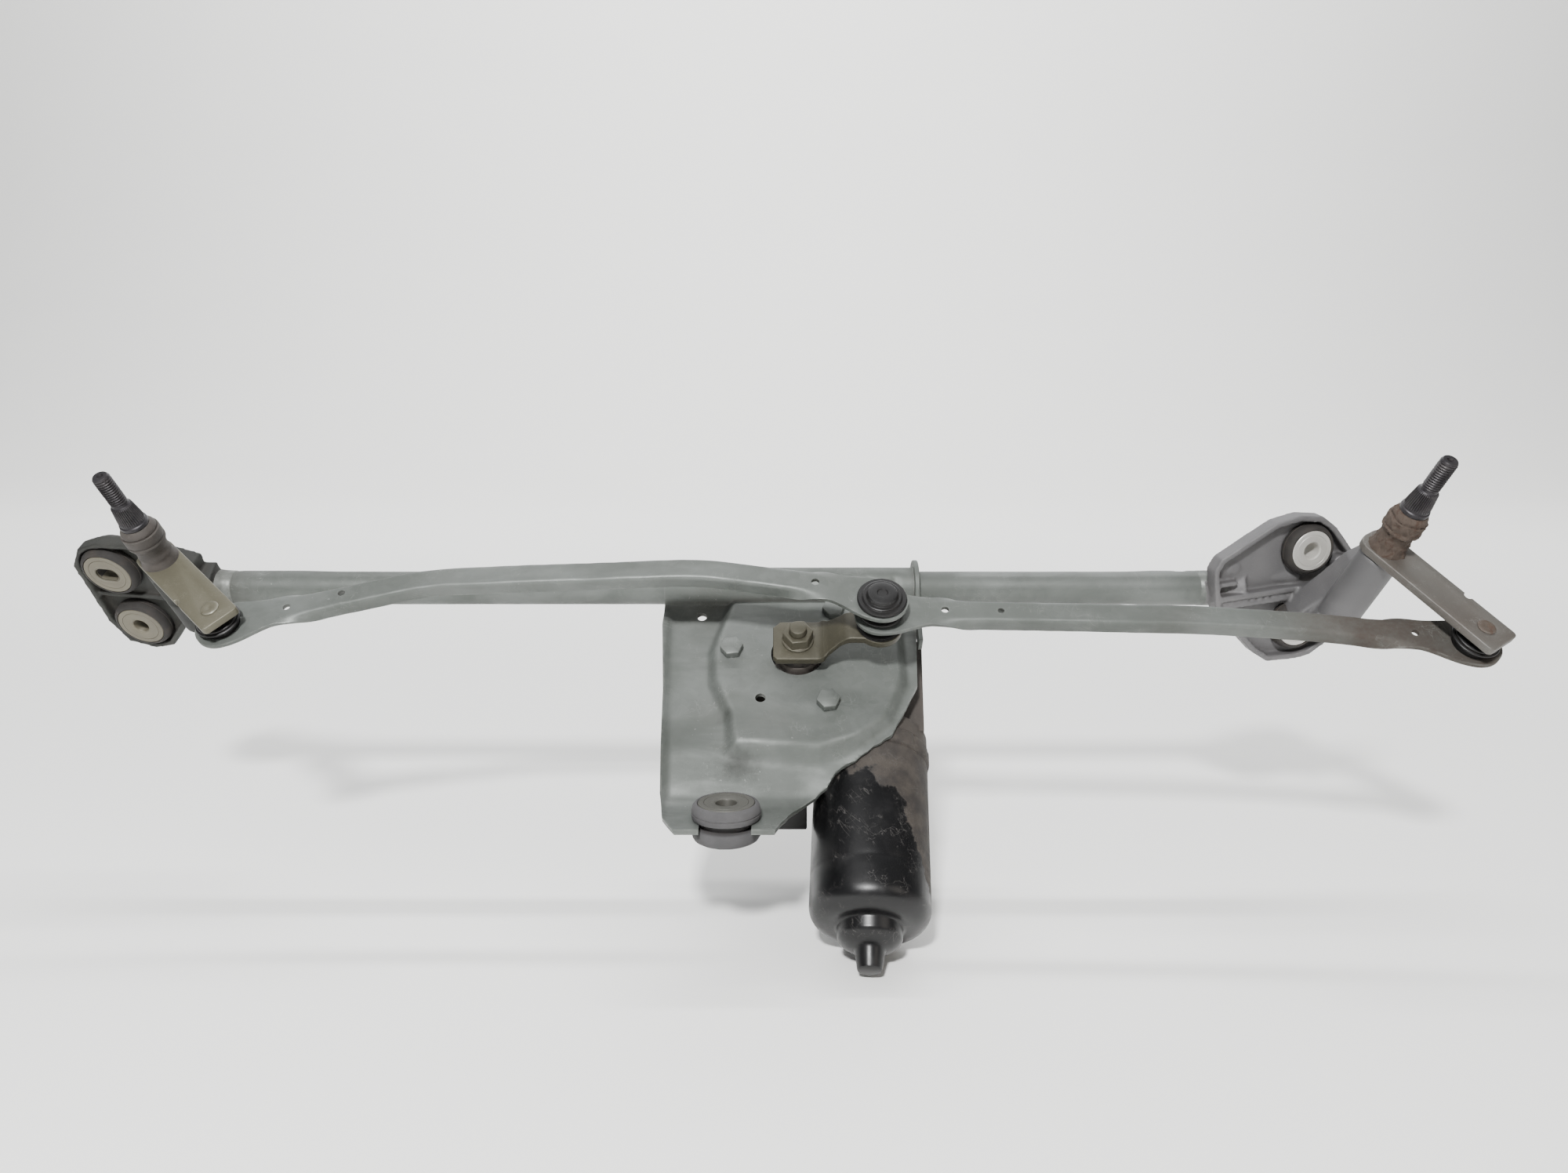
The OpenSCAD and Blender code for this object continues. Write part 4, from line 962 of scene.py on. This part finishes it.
# %% Laying, lifting and cutting the sheet
def bracket_sheet():
    """The grid's x is the bracket's width; its y runs up the foot and over the tube."""
    left, width = -71, 135
    lower, upper = -101.5, 35.2
    saddle = 11.8                           # radius of the bend over the cross tube
    straight = upper - lower
    arc = math.radians(112) * saddle
    deselect()
    bpy.ops.mesh.primitive_grid_add(x_subdivisions=92, y_subdivisions=112, size=1)
    piece = bpy.context.object
    piece.name = "bracket_sheet"

    def lay(co):
        x = left + width * (co.x + 0.5)
        along = (straight + arc) * (co.y + 0.5)
        if along < straight:
            y = lower + along
            z = soft_height(y)
        else:
            a = (along - straight) / saddle
            y = 47 - saddle * math.cos(a)
            z = -5 + saddle * math.sin(a)
        wide = 1 - blend01(-58, -44, y)
        lift = 5.0 * blend01(-2.2 - 3 * wide, 3.4 + 4 * wide, depth_inside(x, y, PAN))
        # the left-hand step swells before it drops, as the press tool left it
        lift += 1.0 * math.exp(-((x + 36) / 5) ** 2 - ((y + 28) / 16) ** 2)
        z = max(z, -5 + lift) if along >= straight else z + lift
        edge = -68 + 3 * blend01(20, -74, y)
        z += 3.2 * (1 - blend01(0, 6.5, x - edge)) * (1 - blend01(20, 33, y))
        z += 1.6 * math.exp(-((x + 62) / 4) ** 2 - ((y + 90) / 6) ** 2)
        for at in (36, 50):
            if along > straight:
                z -= 1.3 * math.exp(-((x - at) / 1.7) ** 2 - ((y - 42) / 1.9) ** 2)
        z += 0.22 * noise.noise(Vector((x * 0.045, y * 0.045, 0.0)))
        return Vector((x, y, z))

    reshape(piece, lay)
    modify(piece, "SOLIDIFY", thickness=SHEET, offset=-1)
    outline = slab("outline", ragged(PLATE), -45, 45)
    modify(piece, "BOOLEAN", object=outline, operation="INTERSECT", solver="MANIFOLD")
    bpy.data.objects.remove(outline, do_unlink=True)
    cut(piece, barrel("hub", 13, -30, 30, sides=72),
        barrel("hole", 2.5, -30, 30, (-17.9, -26.5)),
        barrel("hole", 2.5, -30, 30, (-48.5, 27.4)))
    foot = slab("slot", [(-11, -34), (11, -34), (11.5, 0)]
                + [(11.8 * math.cos(a), 11.8 * math.sin(a))
                   for a in [math.pi * k / 24 for k in range(1, 24)]]
                + [(-11.5, 0)], -9, 9)
    carried(foot, shift(*LOWER_MOUNT) @ turn(-40, "X"))
    room = barrel("can", 28.5, -124, -20)
    carried(room, TO_MECH @ MOTOR @ turn(-90, "X"))
    cut(piece, foot, room)
    modify(piece, "BEVEL", width=0.3, segments=1, limit_method="ANGLE",
           angle_limit=math.radians(60))
    smooth(piece, 42)
    return piece


def tube_ring():
    """The turned-up right edge ends in a ring round the cross tube."""
    ring = turned("tube_ring", [(9.3, 0), (14.1, 0), (14.5, 0.4), (14.5, 2.1),
                                (14.1, 2.5), (9.3, 2.5), (9.3, 0)], 72)
    carried(ring, on_tube(60))
    tab = brick("tab", (60.1, 8, -7.4), (62.4, 37, 0.4))
    modify(tab, "BEVEL", width=0.5, segments=2)
    return fused("tube_ring", [ring, tab])


seat(fused("bracket_pressing", [bracket_sheet(), tube_ring()]), MECH, "frame",
     "galvanised_steel", "motor_bracket")

# %% [markdown]
# ## The two rods: a strip that folds into a channel
#
# Each rod starts as a flat strip. Along its middle the edges are folded down into a
# channel; towards each ball joint the folds open out again into a flat round eye. A
# grid is bent the same way: the length follows the route's rounded bends, and the
# width is rolled up by a fold angle that runs from 0 at the eyes to 90 degrees.

# %% A route with rounded bends
def rounded(route, cut_back=14, steps=9):
    points = [Vector(p) for p in route]
    out = [points[0]]
    for before, here, after in zip(points, points[1:], points[2:]):
        near = min(cut_back, (here - before).length * 0.42, (after - here).length * 0.42)
        a = here + (before - here).normalized() * near
        b = here + (after - here).normalized() * near
        for k in range(steps + 1):
            t = k / steps
            out.append(a.lerp(here, t).lerp(here.lerp(b, t), t))
    out.append(points[-1])
    return out


def along_route(points, distance):
    """Place and direction at a distance; it runs straight on past both ends."""
    if distance <= 0:
        d = (points[1] - points[0]).normalized()
        return points[0] + d * distance, d
    for a, b in zip(points, points[1:]):
        length = (b - a).length
        if distance <= length:
            return a.lerp(b, distance / length), (b - a).normalized()
        distance -= length
    d = (points[-1] - points[-2]).normalized()
    return points[-1] + d * distance, d


# %% Folding a rod
EYE_R = 12.4            # outer radius of the flat round eye at each end


def rod(name, route, holes, seed):
    points = rounded(route)
    total = sum((b - a).length for a, b in zip(points, points[1:]))
    rows = [-EYE_R * math.cos(math.pi * k / 28) for k in range(14)]
    rows += [2.0 * k for k in range(int(total / 2.0) + 1) if 2.0 * k < total]
    rows += [total + EYE_R * math.sin(math.pi * k / 28) for k in range(15)]
    columns = 28
    deselect()
    bpy.ops.mesh.primitive_grid_add(x_subdivisions=len(rows) - 1,
                                    y_subdivisions=columns, size=1)
    piece = bpy.context.object
    piece.name = name

    def half_width(s):
        end = min(s, total - s)
        if end < 0:
            return math.sqrt(max(EYE_R ** 2 - end ** 2, 0.0))
        neck = EYE_R - 4.3 * blend01(2, 24, end)
        return neck + 4.1 * blend01(22, 50, end)

    def place(co):
        s = rows[min(len(rows) - 1, round((co.x + 0.5) * (len(rows) - 1)))]
        end = min(s, total - s)
        fold = math.radians(88) * blend01(20, 50, end)
        across = 2 * co.y * half_width(s)
        side = math.copysign(1, across) if across else 1
        y = z = walked = 0.0
        width = abs(across)
        steps = 40
        for _ in range(steps):
            walked += width / steps
            angle = fold * blend01(3.9, 7.6, walked)
            y += math.cos(angle) * width / steps
            z -= math.sin(angle) * width / steps
        centre, forward = along_route(points, s)
        left = Vector((0, 0, 1)).cross(forward).normalized()
        up = forward.cross(left)
        wobble = 0.25 * noise.noise(Vector((s * 0.02 + seed, side, 0)))
        dish = 0.12 * noise.noise(Vector((s * 0.15, across * 0.2, seed)))
        return centre + left * (side * y + wobble * fold) + up * (z + dish * fold)

    reshape(piece, place)
    tidy_normals(piece)
    if sum(p.normal.z for p in piece.data.polygons) < 0:
        piece.data.flip_normals()
    modify(piece, "SOLIDIFY", thickness=2.0, offset=-1, use_even_offset=True)
    for end in (route[0], route[-1]):
        cut(piece, barrel("eye", 8.5, end[2] - 12, end[2] + 12, end[:2], 56))
    for x, y, r in holes:
        cut(piece, barrel("hole", r, -5, 70, (x, y), 28))
    modify(piece, "BEVEL", width=0.35, segments=2, limit_method="ANGLE",
           angle_limit=math.radians(50))
    smooth(piece, 40)
    return piece


LEFT_ROUTE = [(CRANK, 0, 41), (8, 11, 41), (-46, 21, 40.5), (-178, 19.6, 34.6),
              (-243, 5.5, 29), (-271.4, -3.8, 27)]
RIGHT_ROUTE = [(CRANK, 0, 31.5), (69, 1, 32.5), (186, -5, 36.5), (245, -12, 38.6),
               (280, -18.5, 39.6), (303.4, -24.7, 39.7)]
seat(rod("left_rod_folded", LEFT_ROUTE,
         [(8, 11, 1.9), (-218, 12.4, 1.7), (-243, 5.5, 1.7)], 1.0),
     MECH, "left_link", "galvanised_steel", "left_rod")
seat(rod("right_rod_folded", RIGHT_ROUTE,
         [(69, 1, 1.8), (95, -0.4, 1.6), (280, -18.5, 1.7)], 5.0),
     MECH, "right_link", "galvanised_steel", "right_rod")

# %% [markdown]
# ## Levers and crank arm
#
# These are blanked from thick bar, so one side has a rounded edge and the other a
# sharp one. An outline of straight lines and corner arcs, extruded and bevelled, is
# all they need; the crank arm is bent as well, in the same way as the bracket.

# %% Bar outlines
def corner(cx, cy, r, start):
    return [(cx + r * math.cos(math.radians(start + 15 * k)),
             cy + r * math.sin(math.radians(start + 15 * k))) for k in range(7)]


def bar_outline(low, high, width, r_low, r_high):
    w = width / 2
    return (corner(high - r_high, w - r_high, r_high, 0)
            + corner(low + r_low, w - r_low, r_low, 90)
            + corner(low + r_low, -w + r_low, r_low, 180)
            + corner(high - r_high, -w + r_high, r_high, 270))


def lever(name, reach, width, hub_corner, notch_side):
    piece = slab(name, bar_outline(-width / 2 - 1, reach + 10, width, hub_corner, 2.2),
                 -LEVER_T, 0)
    cut(piece, barrel("bore", 5.0, -8, 4), barrel("eye", 3.4, -8, 4, (reach, 0)),
        barrel("notch", 1.8, -8, 4, (reach - 16, notch_side * width / 2)))
    modify(piece, "BEVEL", width=0.55, segments=3, limit_method="ANGLE",
           angle_limit=math.radians(50), use_clamp_overlap=False)
    smooth(piece, 40)
    return piece


def rivet(name, r):
    piece = turned(name, [(0, -4.0), (3.3, -4.0), (3.3, 0), (r, 0.02), (r, 0.3),
                          (r - 0.35, 0.62), (r - 1.2, 0.75), (1.2, 0.7), (0.8, 0.55),
                          (0, 0.5)], 56)
    smooth(piece, 35)
    return piece


seat(lever("left_lever_plate", LEFT_REACH, 18, 3.2, -1),
     LEFT_SPINDLE @ turn(LEFT_LEAN, "Z"), "left_pivot", "greasy_steel", "left_lever")
seat(lever("right_lever_plate", RIGHT_REACH, 19, 7, 1),
     RIGHT_SPINDLE @ turn(RIGHT_LEAN, "Z"), "right_pivot", "greasy_steel", "right_lever")
seat(rivet("left_rivet_head", 4.2), LEFT_SPINDLE @ LEFT_TIP, "left_pivot",
     "greasy_steel", "left_rivet")
seat(rivet("right_rivet_head", 4.1), RIGHT_SPINDLE @ RIGHT_TIP, "right_pivot",
     "greasy_steel", "right_rivet")


# %% Crank arm
def crank_arm():
    hub = [(-12, 8), (-8.5, 11.5), (12.5, 11.5), (14.5, 9.5), (20, 8)]
    tip = [(CRANK + 11 * math.cos(a), 11 * math.sin(a))
           for a in [math.radians(132 - 12 * k) for k in range(23)]]
    hub_back = [(20, -8), (14.5, -9.5), (12.5, -11.5), (-10, -11.5), (-12, -9.5)]
    piece = slab("crank_arm_forged", hub + tip + hub_back, -1, 1)
    open_up(piece, "SELECT")
    for x in [8 + 1.1 * k for k in range(17)]:
        bpy.ops.mesh.select_all(action="SELECT")
        bpy.ops.mesh.bisect(plane_co=(x, 0, 0), plane_no=(1, 0, 0))
    close_up()

    def bend(co):
        rise = 11.9 * blend01(8.5, 25.5, co.x)
        low = 6.5 + rise
        return Vector((co.x, co.y, low if co.z < 0 else low + 4))

    reshape(piece, bend)
    cut(piece, barrel("bore", 4.1, 0, 30), barrel("pin", 3.3, 0, 40, (CRANK, 0)))
    modify(piece, "BEVEL", width=0.5, segments=3, limit_method="ANGLE",
           angle_limit=math.radians(48), use_clamp_overlap=False)
    smooth(piece, 45)
    return piece


seat(crank_arm(), MECH, "crank", "greasy_steel", "crank_arm")

# %% [markdown]
# ## The two end castings
#
# Die castings have no sharp inside corners: metal must flow round them. Modelling
# every fillet by hand would take a day, so simple closed shapes are overlapped, a
# voxel remesh melts them into one skin, and a smooth pass rounds every corner by
# about the same radius. Holes that must stay crisp are cut last.

# %% Casting tools
def cup(name, outline, low, high, floor_t, wall=3.0, draft=0.6):
    """A plate with a rim round it: the face is inset, then pushed down."""
    piece = slab(name, outline, low, high)
    open_up(piece)
    mesh = bmesh.from_edit_mesh(piece.data)
    for face in mesh.faces:
        face.select = face.normal.z > 0.9 and face.calc_center_median().z > high - 0.01
    bmesh.update_edit_mesh(piece.data)
    bpy.ops.mesh.select_mode(type="FACE")
    bpy.ops.mesh.inset(thickness=wall)
    bpy.ops.mesh.extrude_region_move(
        TRANSFORM_OT_translate={"value": (0, 0, low + floor_t - high)})
    bpy.ops.mesh.inset(thickness=draft)
    close_up()
    return piece


def pillar(profile, place):
    return carried(turned("pillar", profile, 48), place)


def bearing_tube(foot, place):
    """What a spindle turns in, from its foot up to the sleeve."""
    return pillar([(0, foot), (9.2, foot), (9.5, foot + 0.7), (9.5, -5.6), (9.1, -4.4),
                   (0, -4.4)], place)


def opened(pieces, pair, room, mounts):
    """Holes for two grommets, through the floor and wider above it."""
    for piece in pieces:
        for at in (Vector((0, 0, 0)), pair):
            cut(piece, barrel("hole", 12.0, -30, 30, at.xy[:], 72),
                barrel("room", room, BACK + 3.2, 30, at.xy[:], 72))
        carried(piece, mounts)
    return [piece for piece in pieces if piece.data.polygons]


def melted(name, pieces, voxel=0.75, passes=5):
    piece = fused(name, pieces)
    modify(piece, "REMESH", mode="VOXEL", voxel_size=voxel)
    open_up(piece, "SELECT")
    bpy.ops.mesh.normals_make_consistent(inside=False)
    close_up()
    modify(piece, "SMOOTH", factor=0.5, iterations=passes)
    return piece


def cast_skin(piece, seed):
    """The skin of a casting is never quite flat."""
    def move(co):
        n = noise.noise(co * 0.09 + Vector((seed, 0, 0)))
        return co + Vector((n, n, n)) * 0.12
    reshape(piece, move)
    smooth(piece, 60)


RIGHT_OUTLINE = [(-50, -26), (-52, -4), (-48, 2), (-19, 17), (-6, 19), (6, 17), (14, 10),
                 (24, -4), (26, -28), (20, -42), (12, -54), (4, -59), (-4, -60),
                 (-20, -59), (-28, -53), (-37, -42)]
LEFT_OUTLINE = [(-19, 2), (-12, 14), (0, 19), (22, 20), (50, 12), (50, -12), (30, -34),
                (16, -52), (4, -56), (-10, -52), (-16, -38)]
BACK = -10.0

# %% Right casting
def right_casting():
    mounts = TO_MECH @ RIGHT_MOUNTS
    spindle_place = TO_MECH @ RIGHT_SPINDLE
    body = cup("right", RIGHT_OUTLINE, BACK, BACK + 8.6, 3.0)
    ribs = [brick("rib", (-49, -21.8, BACK), (25, -18.8, BACK + 8.6)),
            brick("rib", (-49, -26.2, BACK), (25, -23.4, BACK + 8.0)),
            brick("rib", (-49, -14, BACK), (-38, -11.6, BACK + 7.4))]
    bosses = [barrel("boss", 4.2, BACK, BACK + 9.0, (17.6, -9.5), 32),
              barrel("boss", 4.0, BACK, BACK + 8.6, (13.5, -33), 32),
              barrel("mark", 3.0, BACK, BACK + 3.5, (-38, -6), 32)]
    rings = []
    for x, y in ((0, 0), (RIGHT_PAIR.x, RIGHT_PAIR.y)):
        rings.append(barrel("ring", 16.6, BACK, BACK + 2.4, (x, y)))
    near_plate = opened([body] + ribs + bosses + rings, RIGHT_PAIR, 14.0, mounts)
    tube = bearing_tube(-50.3, spindle_place)
    web = slab("web", [(252, -8), (282, -8), (283, 20), (281, 40), (271, 30),
                       (264, 14)], -41, -27)
    carried(web, turn(90, "X"))
    fin = slab("fin", [(258, -8), (276, -8), (280, 44), (274, 40), (262, 8)], -34, -22)
    carried(fin, turn(90, "X"))
    spigot = pillar([(0, 0), (8.9, 0), (9.0, 1.0), (9.0, 9), (9.8, 14), (11.5, 19),
                     (12.5, 23), (0, 23)], on_tube(207))
    strut = brick("strut", (226, 45, -13), (262, 57, 7))
    modify(strut, "BEVEL", width=6, segments=4)
    piece = melted("right_casting", near_plate + [tube, web, fin, spigot, strut])
    cut(piece, carried(barrel("bore", 7.0, -60, 10), spindle_place))
    cast_skin(piece, 2.0)
    return piece


# %% Left casting
def left_casting():
    mounts = TO_MECH @ LEFT_MOUNTS
    spindle_place = TO_MECH @ LEFT_SPINDLE
    body = cup("left", LEFT_OUTLINE, BACK, BACK + 8, 3.0)
    ribs = [brick("rib", (-14, -20, BACK), (40, -17, BACK + 6)),
            brick("rib", (20, -16, BACK), (23, 18, BACK + 6))]
    near_plate = opened([body] + ribs, LEFT_PAIR, 15.5, mounts)
    tube = bearing_tube(-46.3, spindle_place)
    # a flat leaves room for the left rod at the far end of its stroke
    cut(tube, brick("flat", (-318, 14, 11), (-294, 22.3, 28.5)))
    web = brick("web", (-322, 34, -14), (-300, 54, 8))
    spigot = pillar([(0, 0), (11, 0), (11, 6), (9.4, 12), (9.0, 15), (9.0, 19.5),
                     (0, 19.5)], on_tube(-312))
    piece = melted("left_casting", near_plate + [tube, web, spigot])
    cut(piece, carried(barrel("bore", 7.0, -60, 10), spindle_place))
    cast_skin(piece, 7.0)
    return piece


seat(right_casting(), MECH, "frame", "grey_casting", "right_housing")
# The left casting takes the near-black finish: painted shade, because it lies in shadow.
seat(left_casting(), MECH, "frame", "dark_casting", "left_housing")

# %% [markdown]
# ## The cross tube
#
# Plain tube, but not a plain cylinder: it is pinched round the spigot of each casting
# so that it cannot turn, and it was drawn down slightly along its middle.

# %% Cross tube
def cross_tube():
    outer = []
    for k in range(126):
        x = -292 + 4.0 * k
        r = 9.0 - 0.45 * blend01(-260, -235, x) * (1 - blend01(170, 186, x))
        outer.append((r, x))
    profile = [(7.5, -292)] + [(8.7, -292)] + outer[1:] + [(8.7, 208), (7.5, 208),
                                                          (7.5, -292)]
    piece = turned("cross_tube_drawn", profile, 64)

    def pinch(co):
        r, angle = math.hypot(co.x, co.y), math.atan2(co.y, co.x)
        grow = 0.0
        for z, where in ((-284, 1.9), (-276, 2.7), (-279, 1.2), (199, 2.2), (193, 1.1)):
            away = math.hypot(math.remainder(angle - where, math.tau) * 9, co.z - z)
            grow -= 1.5 * max(0.0, 1 - away / 4.2) ** 1.5
        grow += 0.06 * noise.noise(co * 0.05)
        return Vector((co.x * (r + grow) / r, co.y * (r + grow) / r, co.z))

    open_up(piece, "SELECT")
    for z in (-288, -286, -282, -278, -274, 194, 197, 200, 203):
        bpy.ops.mesh.select_all(action="SELECT")
        bpy.ops.mesh.bisect(plane_co=(0, 0, z + 0.3), plane_no=(0, 0, 1))
    close_up()
    reshape(piece, pinch)
    # both ends are drawn out over the spigots of the castings
    left_end = turned("end", [(8.8, -291.5), (9.1, -292), (9.35, -297), (9.8, -300),
                              (11.3, -306), (11.4, -311), (10.9, -311.4),
                              (10.9, -306), (8.8, -299), (8.8, -291.5)], 64)
    right_end = turned("end", [(8.8, 207.5), (9.1, 208), (9.2, 215), (10.0, 220.5),
                               (9.6, 221), (8.8, 215), (8.8, 207.5)], 64)
    piece = fused("cross_tube_drawn", [piece, left_end, right_end])
    smooth(piece, 35)
    return piece


seat(cross_tube(), MECH @ on_tube(0), "frame", "galvanised_steel", "cross_tube")

# %% [markdown]
# ## Softened copies
#
# Nuts, bolts, the gearbox and the plug socket already have the right shape in the
# CAD, but its edges are knife-sharp and catch no light. Each is copied, its loose
# triangles are merged, its flat faces are joined up again, and its edges are bevelled.

# %% Bevelled copies of CAD nodes
def softened(node, width, body):
    piece = bpy.data.objects.new(node + "_soft", frame["nodes"][node].data.copy())
    bpy.context.scene.collection.objects.link(piece)
    carried(piece, Matrix.Scale(1 / MM, 4))
    open_up(piece, "SELECT")
    bpy.ops.mesh.remove_doubles(threshold=0.004)
    bpy.ops.mesh.dissolve_limited(angle_limit=math.radians(1.0))
    close_up()
    modify(piece, "BEVEL", width=width, segments=2, limit_method="ANGLE",
           angle_limit=math.radians(28), use_clamp_overlap=False)
    smooth(piece, 34)
    seat(piece, SCALE, body, slot_of[node], node)


slot_of = {part["node"]: part["material_slot"] for part in frame["record"]["subparts"]}
for node, width, body in [
        ("bracket_bolts", 0.35, "frame"), ("crank_nut", 0.35, "crank"),
        ("gear_housing", 0.6, "frame"), ("gear_cover", 0.4, "frame"),
        ("cover_screws", 0.3, "frame"), ("connector", 0.7, "frame"),
        ("shaft_seal", 0.5, "frame"), ("output_shaft", 0.3, "crank"),
        ("left_circlip", 0.15, "left_pivot"), ("right_circlip", 0.15, "right_pivot")]:
    softened(node, width, body)

# %% [markdown]
# ## Dressing everything
#
# Pieces made above take the finish of their slot, and CAD nodes that are still shown
# get theirs through their own material slots, with their meshes left as they are.
# The table lists the pieces whose age or place gives them another finish than the
# rest of their slot.

# %% Finishes onto pieces and CAD nodes
OWN_FINISH = {
    "left_lever": "lever_left", "right_lever": "lever_right",
    "left_lever_plate": "lever_left", "right_lever_plate": "lever_right",
    "right_sleeve_caked": "rusty_steel", "right_rivet": "rivet_rust",
    "right_upper_sleeve_turned": "bright_zinc", "right_lower_sleeve_turned": "bright_zinc",
    "left_rivet_head": "lever_left", "right_rivet_head": "rivet_rust",
    "bracket_bolts_soft": "galvanised_steel", "crank_nut_soft": "greasy_steel",
    "output_shaft_soft": "greasy_steel", "bracket_pressing": "bracket_zinc",
    "lower_sleeve_turned": "dull_zinc",
}

for piece, finish in finished:
    dress(piece, OWN_FINISH.get(piece.name, finish))
for name, obj in frame["nodes"].items():
    for slot in obj.material_slots:
        slot.material = made[OWN_FINISH.get(name, slot_of[name])]
print(len(finished), "pieces and", len(frame["nodes"]), "CAD nodes dressed")

# %% [markdown]
# ## Floor, light and camera
#
# A pale sheet, flat under the part and swept up far behind it, leaves no horizon.
# The key light hangs in front and above, a little to the left, and it is small,
# because only a small light makes the rods' shadow on the bracket clear. A wide
# window above it, a lamp at the right and one at the back soften the rest, and a
# strong one keeps the sheet's wall as pale as its floor.

# %% Floor
deselect()
bpy.ops.mesh.primitive_grid_add(x_subdivisions=4, y_subdivisions=40, size=1)
floor = bpy.context.object
floor.name = "studio_floor"


BACKDROP = 14.0             # metres, both ways along the sheet
IN_FRONT = 4.0              # how much of it lies in front of the part
FLAT, BEND = 2.6, 1.6       # flat ground behind the part, then the bend's radius
UNDER = 0.0005              # a hair below the part


def sweep_up(co):
    """Flat ground, then a quarter round and a wall."""
    along = BACKDROP * (co.y + 0.5) - IN_FRONT
    a = min(max((along - FLAT) / BEND, 0.0), math.pi / 2)
    beyond = max(0.0, along - FLAT - BEND * math.pi / 2)
    y = min(along, FLAT) + BEND * math.sin(a)
    z = BEND * (1 - math.cos(a)) + beyond
    return Vector((BACKDROP * co.x, y, z + cad_low.z - UNDER))


reshape(floor, sweep_up)
smooth(floor, 60)
white = bpy.data.materials.new("studio_white")
white.use_nodes = True
tree = white.node_tree
tree.nodes.clear()
start = Socket(tree)
grain = start.node("ShaderNodeTexCoord", out="Object").cloud(0.4, 2)
tone = grain.over(paint("f4f4f2", 1), paint("f7f7f5", 1))
shell = grain.node("ShaderNodeBsdfPrincipled", None, {
    "Base Color": tone, "Roughness": 0.9, "Specular IOR Level": 0.1})
grain.node("ShaderNodeOutputMaterial", None, {"Surface": shell})
floor.data.materials.append(white)

# %% Light
WORLD_LIGHT = 0.27
# name, place, target, size, watts, colour
LAMPS = [
    ("key", MECH @ Vector((-180, -280, 1300)), (0, 0.05, 0.05), (0.12, 0.12), 33,
     "ffffff"),
    ("window", (-0.55, -0.75, 1.7), (0, 0.05, 0.05), (1.5, 1.0), 6, "ffffff"),
    ("side", (1.4, -0.9, 0.9), (0.1, 0.05, 0.05), (0.9, 0.9), 5, "fff6ec"),
    ("back", (0.2, 1.5, 1.3), (0, 0.05, 0.05), (2.0, 0.8), 7, "eef4ff"),
    ("wall_wash", (0, 1.2, 3.2), (0, 4.0, 1.2), (4.0, 0.6), 300, "ffffff"),
]
world = bpy.data.worlds.new("studio")
bpy.context.scene.world = world
world.use_nodes = True
backdrop = world.node_tree.nodes["Background"]
backdrop.inputs["Color"].default_value = paint("f6f7f8", 1)
backdrop.inputs["Strength"].default_value = WORLD_LIGHT


def lamp(name, place, target, size, power, tint):
    deselect()
    bpy.ops.object.light_add(type="AREA", location=place)
    light = bpy.context.object
    light.name = name
    light.data.shape = "RECTANGLE"
    light.data.size, light.data.size_y = size
    light.data.energy = power
    light.data.color = paint(tint, 1)[:3]
    aim = Vector(target) - Vector(place)
    light.rotation_euler = aim.to_track_quat("-Z", "Y").to_euler()


for light in LAMPS:
    lamp(*light)

# %% Camera
deselect()
bpy.ops.object.camera_add(location=(0.0253, -0.4745, 0.1790),
                          rotation=(math.radians(81), 0, 0))
camera = bpy.context.object
camera.data.lens = 26
camera.data.sensor_width = 36
bpy.context.scene.camera = camera
